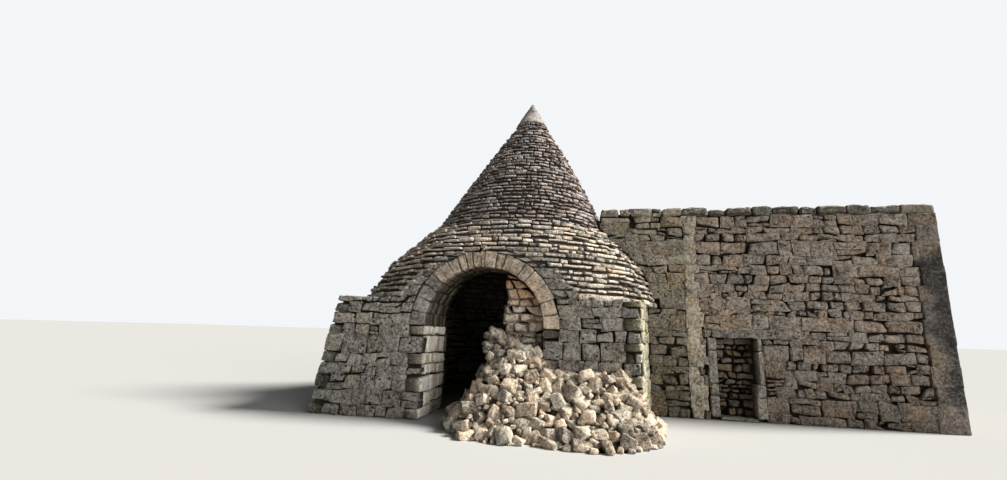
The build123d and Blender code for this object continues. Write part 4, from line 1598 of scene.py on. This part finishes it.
def house_sides():
    (x0, x1), (y0, y1) = HOUSE_X, HOUSE_Y

    def right_spans(bottom, top, number):
        start = quoin_length((bottom + top) / 2, 1)
        return between(start, y1 - y0, None, (0.0, 0))(bottom, top, number)
    house_side("house_right_wall", flat_patch(x1, y0, (0, 1)), right_spans)
    house_side("house_rear_wall", back_patch(y1, x1), between(0.0, x1 - x0, (0.0, 1), (0.0, 0)))
    left_spans = between(0.0, y1 - high["link_wall"][1], (0.0, 1))
    house_side("house_left_wall", flat_patch(x0, y1, (0, -1)), left_spans)


def link_wall():
    """The wall between the trullo and the house, front and back."""
    rng = dice("link_wall")
    node = "link_wall"
    front, back = low[node][1], high[node][1]
    right = high[node][0] - ARCH_X
    foot_start, foot_end = TRULLO_WALLS["right_wall"][:2]

    def edge(v, y):
        """Where the wall begins at a height: at the trullo's side, or higher up at its roof."""
        if v < WALL_TOP:
            share = (y - foot_start[1]) / (foot_end[1] - foot_start[1])
            return foot_start[0] + share * (foot_end[0] - foot_start[0]) - ARCH_X
        middle, radius = (float(value) for value in roof_ring(v))
        return max(low[node][0], middle + half_chord(radius, ROOM_Y - y)) - ARCH_X

    def spans_at(y):
        return lambda bottom, top, number: [(edge(bottom, y), edge(top, y), right, right)]

    levels = HOUSE_LEVELS + [(CAP_TOP, 0.0)]
    stones, beds = [], []
    for patch, rule, grid in ((front_patch(front), around_holes(spans_at(front), LINK_HOLES), WALL_GRID),
                              (back_patch(back), mirrored(spans_at(back)), SIDE_GRID)):
        corners = lay(patch, rule, levels, rng, **LINK_LAY)
        stones.append(shaped(corners, grid, "link", rng))
        beds.append(bedding(corners, rng, *HOUSE_BEDS))
    core = recessed(node, on_planes((1, front), (1, back), (2, CAP_TOP)))
    make_piece("link_wall_masonry", [node], stones, LINK_STONE, [core], beds=beds)


# The lengths of the capping's stones, and the least for the last one
CAP_LENGTHS = (0.36, 0.7)
CAP_LEAST = 0.35
# How far stones may stand back at the top and the two sides, and the share of them that does
CAP_EASE = (0.06, 0.04, 0.03)
CAP_EASED = 0.6
# Tone and hue of the squared last one
LAST_CAP_LOOK = (1.6, 1.2)


def capping(node, axis):
    """A row of large stones on top of a wall."""
    rng = dice(node)
    a, b = low[node], high[node]
    rows, at = [], a[axis]
    while at < b[axis] - 1e-6:
        step = rng.uniform(*CAP_LENGTHS)
        if b[axis] - at - step < CAP_LEAST:
            step = b[axis] - at
        ease = rng.uniform(0.0, CAP_EASE) * (rng.random() < CAP_EASED)

        def place(i, j, k):
            point = [0.0, 0.0, (a[2] + NEAR, b[2] - ease[0] - SLIGHT * rng.random())[j]]
            point[axis] = at + (SLIGHT, step - SLIGHT)[i]
            point[1 - axis] = (a[1 - axis] + NEAR + ease[1], b[1 - axis] - ease[2])[k]
            return point
        rows.append(corners_of(place))
        at += step
    tone, hue = (np.array([value]) for value in LAST_CAP_LOOK)
    stones = [shaped(np.array(rows[:-1]), BLOCK_GRID, "capping", rng),
              shaped(np.array(rows[-1:]), BLOCK_GRID, "squared", rng, tone, hue)]
    make_piece(node + "_stones", [node], stones, CAP_STONE)


# How high the roof's stones stand over the walls, their rows' mean width, and how much rows differ
ROOF_RISE = 0.06
ROOF_ROW = 0.45
ROOF_SPREAD = 0.25


def house_roof():
    """Flat stones on top of the house, between its cappings."""
    rng = dice("house_roof")
    levels = course_levels([high["capping_front"][1], low["capping_rear"][1]], ROOF_ROW, rng, ROOF_SPREAD)
    spans = between(high["capping_left"][0], low["capping_right"][0])
    corners = lay(level_patch(HOUSE_TOP + ROOF_RISE), spans, levels, rng, **ROOF_LAY)
    stones = [shaped(corners, LINING_GRID, "squared", rng)]
    make_piece("house_roof_stones", [], stones, CAP_STONE)


# How far the right jamb's upper stones stand back from the doorway, and where a jamb's stones end
DOOR_EASE = 0.09
JAMB_JOINTS = (0.0, 0.26, 0.42, 0.84, 1.0)
EASED_FROM = 2
DOOR_JOINT = 0.006


def block_between(a, b):
    """The corners of a doorway's stone in the box from a to b, with its joints."""
    sides = [(start + DOOR_JOINT, end - DOOR_JOINT) for start, end in zip(a, b)]
    return corners_of(lambda i, j, k: (sides[0][i], (a[1] + SLIGHT, b[1])[k], sides[2][j]))


def door_surround():
    """The doorway's long lintel, its jamb stones and its threshold."""
    rng = dice("door")
    stones = [shaped(np.array([block_between(*LINTEL)]), BLOCK_GRID, "squared", rng, np.array([0.0]))]
    make_piece("door_lintel_stone", ["door_lintel"], stones, DOOR_STONE)
    node = "door_threshold"
    stones = [shaped(np.array([block_between(low[node], high[node])]), BLOCK_GRID, "threshold", rng)]
    make_piece("door_threshold_stone", [node], stones, DOOR_STONE)
    for node, ease in (("door_jamb_left", 0.0), ("door_jamb_right", DOOR_EASE)):
        a, b = low[node], high[node]
        heights = [a[2] + share * (b[2] - a[2]) for share in JAMB_JOINTS]
        rows = []
        for number, (bottom, top) in enumerate(zip(heights, heights[1:])):
            start = a[0] + (ease if number >= EASED_FROM else 0.0)
            rows.append(block_between((start, a[1], bottom), (b[0], b[1], top)))
        stones = [shaped(np.array(rows), BLOCK_GRID, "skirt", rng)]
        make_piece(node + "_stones", [node], stones, DOOR_STONE)


# The missing stone in the doorway's filling: its ends from the left and its height
DOOR_HOLE = (0.06, 0.24, 0.12)
DOOR_COURSE = 0.15


def door_infill():
    """Dry stones set back in the doorway, with a hole at the lower left."""
    rng = dice("door_infill")
    node = "door_infill"
    a, b = low[node], high[node]
    hole = (DOOR_HOLE[0], DOOR_HOLE[1], a[2] + DOOR_HOLE[2])
    spans = around_holes(between(0.0, b[0] - a[0] + DOOR_EASE), [hole])
    levels = course_levels([a[2], b[2]], DOOR_COURSE, rng)
    corners = lay(front_patch(a[1], a[0]), spans, levels, rng, **DOOR_LAY)
    stones = [shaped(corners, WALL_GRID, "door_infill", rng)]
    make_piece("door_infill_stones", [node], stones, DOOR_FILLING,
               [recessed(node, on_planes((1, a[1])), DOOR_INFILL_RECESS)])


# How often a stone is tried for the heap, its least size and what may be added, and that of a block
HEAP_TRIES = 6500
HEAP_SIZE = (0.1, 0.26)
HEAP_BLOCK = 0.2
# How near two may lie and how deep they sink in, as shares of their size
HEAP_SPACING = 0.72
HEAP_SINK = (0.05, 0.35)
# How far up the heap's surface faces where stones lie on it and where its core is lowered, and by how much
HEAP_UPWARD = 0.15
HEAP_RISING = 0.05
HEAP_RECESS = 0.1
# How far inside the bounds stones stay, as a share of their size, and their lowest middle
HEAP_MARGIN = 0.55
HEAP_LOWEST = 0.02
# Half lengths of a heap's and of the scree's stones, as shares of their size
HEAP_HALF = ((0.42, 0.66), (0.36, 0.54), (0.3, 0.45))
SCREE_HALF = ((0.42, 0.65), (0.4, 0.55), (0.3, 0.45))
# How far the loose stones are tipped, in radians
HEAP_UNREST = 0.45
SCREE_UNREST = 0.5
# The heap's least and every loose stone's most reach of a corner, as shares of its half lengths
HEAP_RAGGED = 0.58
MOST_RAGGED = 1.05
# The angle from which their edges are sharp, in degrees
SHARP_EDGES = 40


def tumbled(middle, half, unrest, rng, dip=0.0, ragged=0.75):
    """The eight corners of a loose stone, turned and tipped at random, or tipped to one side by dip."""
    turn = Matrix.Rotation(dip, 3, "Y") if dip else (
        Matrix.Rotation(rng.uniform(0, 2 * pi), 3, "Z") @ Matrix.Rotation(rng.normal(0, unrest), 3, "X")
        @ Matrix.Rotation(rng.normal(0, unrest), 3, "Y"))
    turn = np.array(turn)
    return corners_of(lambda *end: middle + turn @ (
        (np.array(end) * 2 - 1) * half * rng.uniform(ragged, MOST_RAGGED, 3)))


def half_lengths(size, shares, rng):
    return size * np.array([rng.uniform(*share) for share in shares])


def rubble():
    """The heap of fallen stones: large blocks, and cobbles between them."""
    rng = dice("heap")
    node = "rubble_heap"
    points, triangles = node_arrays(node)
    normals = face_normals(points, triangles)[0]
    corners = points[triangles]
    sides = corners[:, 1:] - corners[:, :1]
    areas = np.linalg.norm(np.cross(sides[:, 0], sides[:, 1]), axis=1) / 2
    chance = np.where(normals[:, 2] > HEAP_UPWARD, areas, 0)
    blocks, cobbles, placed = [], [], np.empty((0, 4))
    for size in np.sort(HEAP_SIZE[0] + HEAP_SIZE[1] * rng.random(HEAP_TRIES) ** 3)[::-1]:
        pick = rng.choice(len(areas), p=chance / chance.sum())
        middle = rng.dirichlet((1, 1, 1)) @ corners[pick] - normals[pick] * size * rng.uniform(*HEAP_SINK)
        margin = size * HEAP_MARGIN
        middle = np.clip(middle, BOX_LOW + (margin, margin, HEAP_LOWEST), BOX_HIGH)
        distance = np.linalg.norm(placed[:, :3] - middle, axis=1)
        if (distance < HEAP_SPACING * (placed[:, 3] + size) / 2).any():
            continue
        placed = np.vstack([placed, [*middle, size]])
        rows = blocks if size > HEAP_BLOCK else cobbles
        half = half_lengths(size, HEAP_HALF, rng)
        rows.append(tumbled(middle, half, HEAP_UNREST, rng, ragged=HEAP_RAGGED))
    stones = [loose(blocks, rng, "block"), loose(cobbles, rng, "cobble", COBBLE_GRID)]
    core = recessed(node, lambda centres, normals: normals[:, 2] > HEAP_RISING, HEAP_RECESS)
    make_piece("rubble_heap_stones", [node], stones, HEAP_STONE, [core], HEAP_EARTH,
               sharp=SHARP_EDGES)


# The number and sizes of the loose stones in the arch
SCREE_STONES = 110
SCREE_SIZE = (0.11, 0.24)
# The ends of their slope from the arch's axis, its height at each, and its foot
SCREE_X = (0.12, 1.2)
SCREE_TOP = (2.02, 1.5)
SCREE_FOOT = 1.25
# How deep in the arch they lie, how far forward per metre down, and how far they sink in as a share
SCREE_Y = (-0.05, 0.2)
SCREE_LEAN = 0.3
SCREE_SINK = 0.4
# The middle, half size and dip of one slab on the slope
SCREE_SLAB = ((0.82, -0.04, 1.56), (0.21, 0.12, 0.1), 0.7)


def scree():
    """Grey stones that lean from the infill's end down to the right, over the mound in the arch."""
    rng = dice("scree")
    foot = np.array((ARCH_X, FRONT_Y, 0))
    rows = []
    for _ in range(SCREE_STONES):
        x = rng.uniform(*SCREE_X)
        surface = np.interp(x, SCREE_X, SCREE_TOP)
        size = rng.uniform(*SCREE_SIZE)
        z = surface - size * SCREE_SINK - rng.random() ** 1.5 * (surface - SCREE_FOOT)
        y = rng.uniform(*SCREE_Y) - SCREE_LEAN * (surface - z)
        half = half_lengths(size, SCREE_HALF, rng)
        rows.append(tumbled(foot + (x, y, z), half, SCREE_UNREST, rng))
    middle, half, dip = SCREE_SLAB
    rows.append(tumbled(foot + middle, half, 0.0, rng, dip))
    make_piece("arch_scree_stones", [], [loose(rows, rng, grid=COBBLE_GRID)], SCREE_STONE,
               sharp=SHARP_EDGES)


def carried_over():
    """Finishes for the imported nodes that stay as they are."""
    for name in ("vault_haunch_front", "vault_haunch_right", "vault_haunch_rear", "vault_haunch_left",
                 "house_vault"):
        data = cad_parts[name].data
        data.materials.clear()
        data.materials.append(ROOM_PLAIN)


def place_in_scene(name, data):
    thing = bpy.data.objects.new(name, data)
    bpy.context.scene.collection.objects.link(thing)
    return thing


def set_camera():
    data = bpy.data.cameras.new("camera")
    data.sensor_width = SENSOR_MM
    data.lens = CAMERA_LENS_MM
    data.clip_end = CAMERA_REACH
    camera = place_in_scene("camera", data)
    turn, tilt, roll = CAMERA_TURN_LEFT, CAMERA_TILT_UP, CAMERA_ROLL
    ahead = Vector((-sin(turn) * cos(tilt), cos(turn) * cos(tilt), sin(tilt)))
    right = Vector((cos(turn), sin(turn), 0))
    up = right.cross(ahead)
    across = right * cos(roll) + up * sin(roll)
    upright = up * cos(roll) - right * sin(roll)
    matrix = Matrix((across, upright, -ahead)).transposed().to_4x4()
    matrix.translation = Vector((ARCH_X, FRONT_Y, 0)) + Vector(CAMERA_FROM_ARCH)
    camera.matrix_world = matrix
    bpy.context.scene.camera = camera


def seen_rays(graph):
    """1 for what is seen, also in a mirror or through glass, and 0 for light on its way to the stones."""
    path = graph.add("LightPath", {}).outputs
    seen = graph.maths("MAXIMUM", path["Is Camera Ray"], path["Is Glossy Ray"])
    return graph.maths("MAXIMUM", seen, path["Is Transmission Ray"])


def set_light():
    for name, (energy, width, colour, stands) in LAMPS.items():
        lamp = bpy.data.lights.new(name, "SUN")
        lamp.energy = energy
        lamp.angle = radians(width)
        lamp.color = colour
        thing = place_in_scene(name, lamp)
        thing.rotation_mode = "QUATERNION"
        thing.rotation_quaternion = Vector(stands).to_track_quat("Z", "Y")
    world = bpy.data.worlds.new("studio")
    bpy.context.scene.world = world
    graph = Graph(world)
    skies = [graph.add("Background", {0: colour, 1: strength}).outputs[0]
             for colour, strength in zip(SKY_COLOURS, SKY_STRENGTHS)]
    mix = graph.add("MixShader", {0: seen_rays(graph), 1: skies[0], 2: skies[1]})
    graph.nodes.remove(graph.nodes["Background"])
    graph.put(graph.nodes["World Output"].inputs[0], mix.outputs[0])
    bpy.context.scene.view_settings.view_transform = "Standard"


def set_floor():
    mesh = bpy.data.meshes.new("floor")
    corners = [(x * FLOOR_HALF, y * FLOOR_HALF, 0) for x, y in ((-1, -1), (1, -1), (1, 1), (-1, 1))]
    mesh.from_pydata(corners, [], [(0, 1, 2, 3)])
    floor = place_in_scene("floor", mesh)
    floor.location.z = -FLOOR_DROP
    material = bpy.data.materials.new("floor")
    graph = Graph(material)
    graph.shade(graph.mixed("MIX", seen_rays(graph), *FLOOR_COLOURS), FLOOR_SHEEN)
    mesh.materials.append(material)


front_half(-1)
front_half(1)
for wall in TRULLO_ORDER[1:]:
    trullo_side(wall)
ledge()
arch_ring()
roof_skirt()
cone()
pinnacle()
room_vault(room_wall())
arch_infill()
house_front()
house_sides()
link_wall()
corner_quoins()
old_quoins()
for row, direction_axis in (("front", 0), ("rear", 0), ("left", 1), ("right", 1)):
    capping("capping_" + row, direction_axis)
house_roof()
door_surround()
door_infill()
rubble()
scree()
carried_over()
set_camera()
set_light()
set_floor()
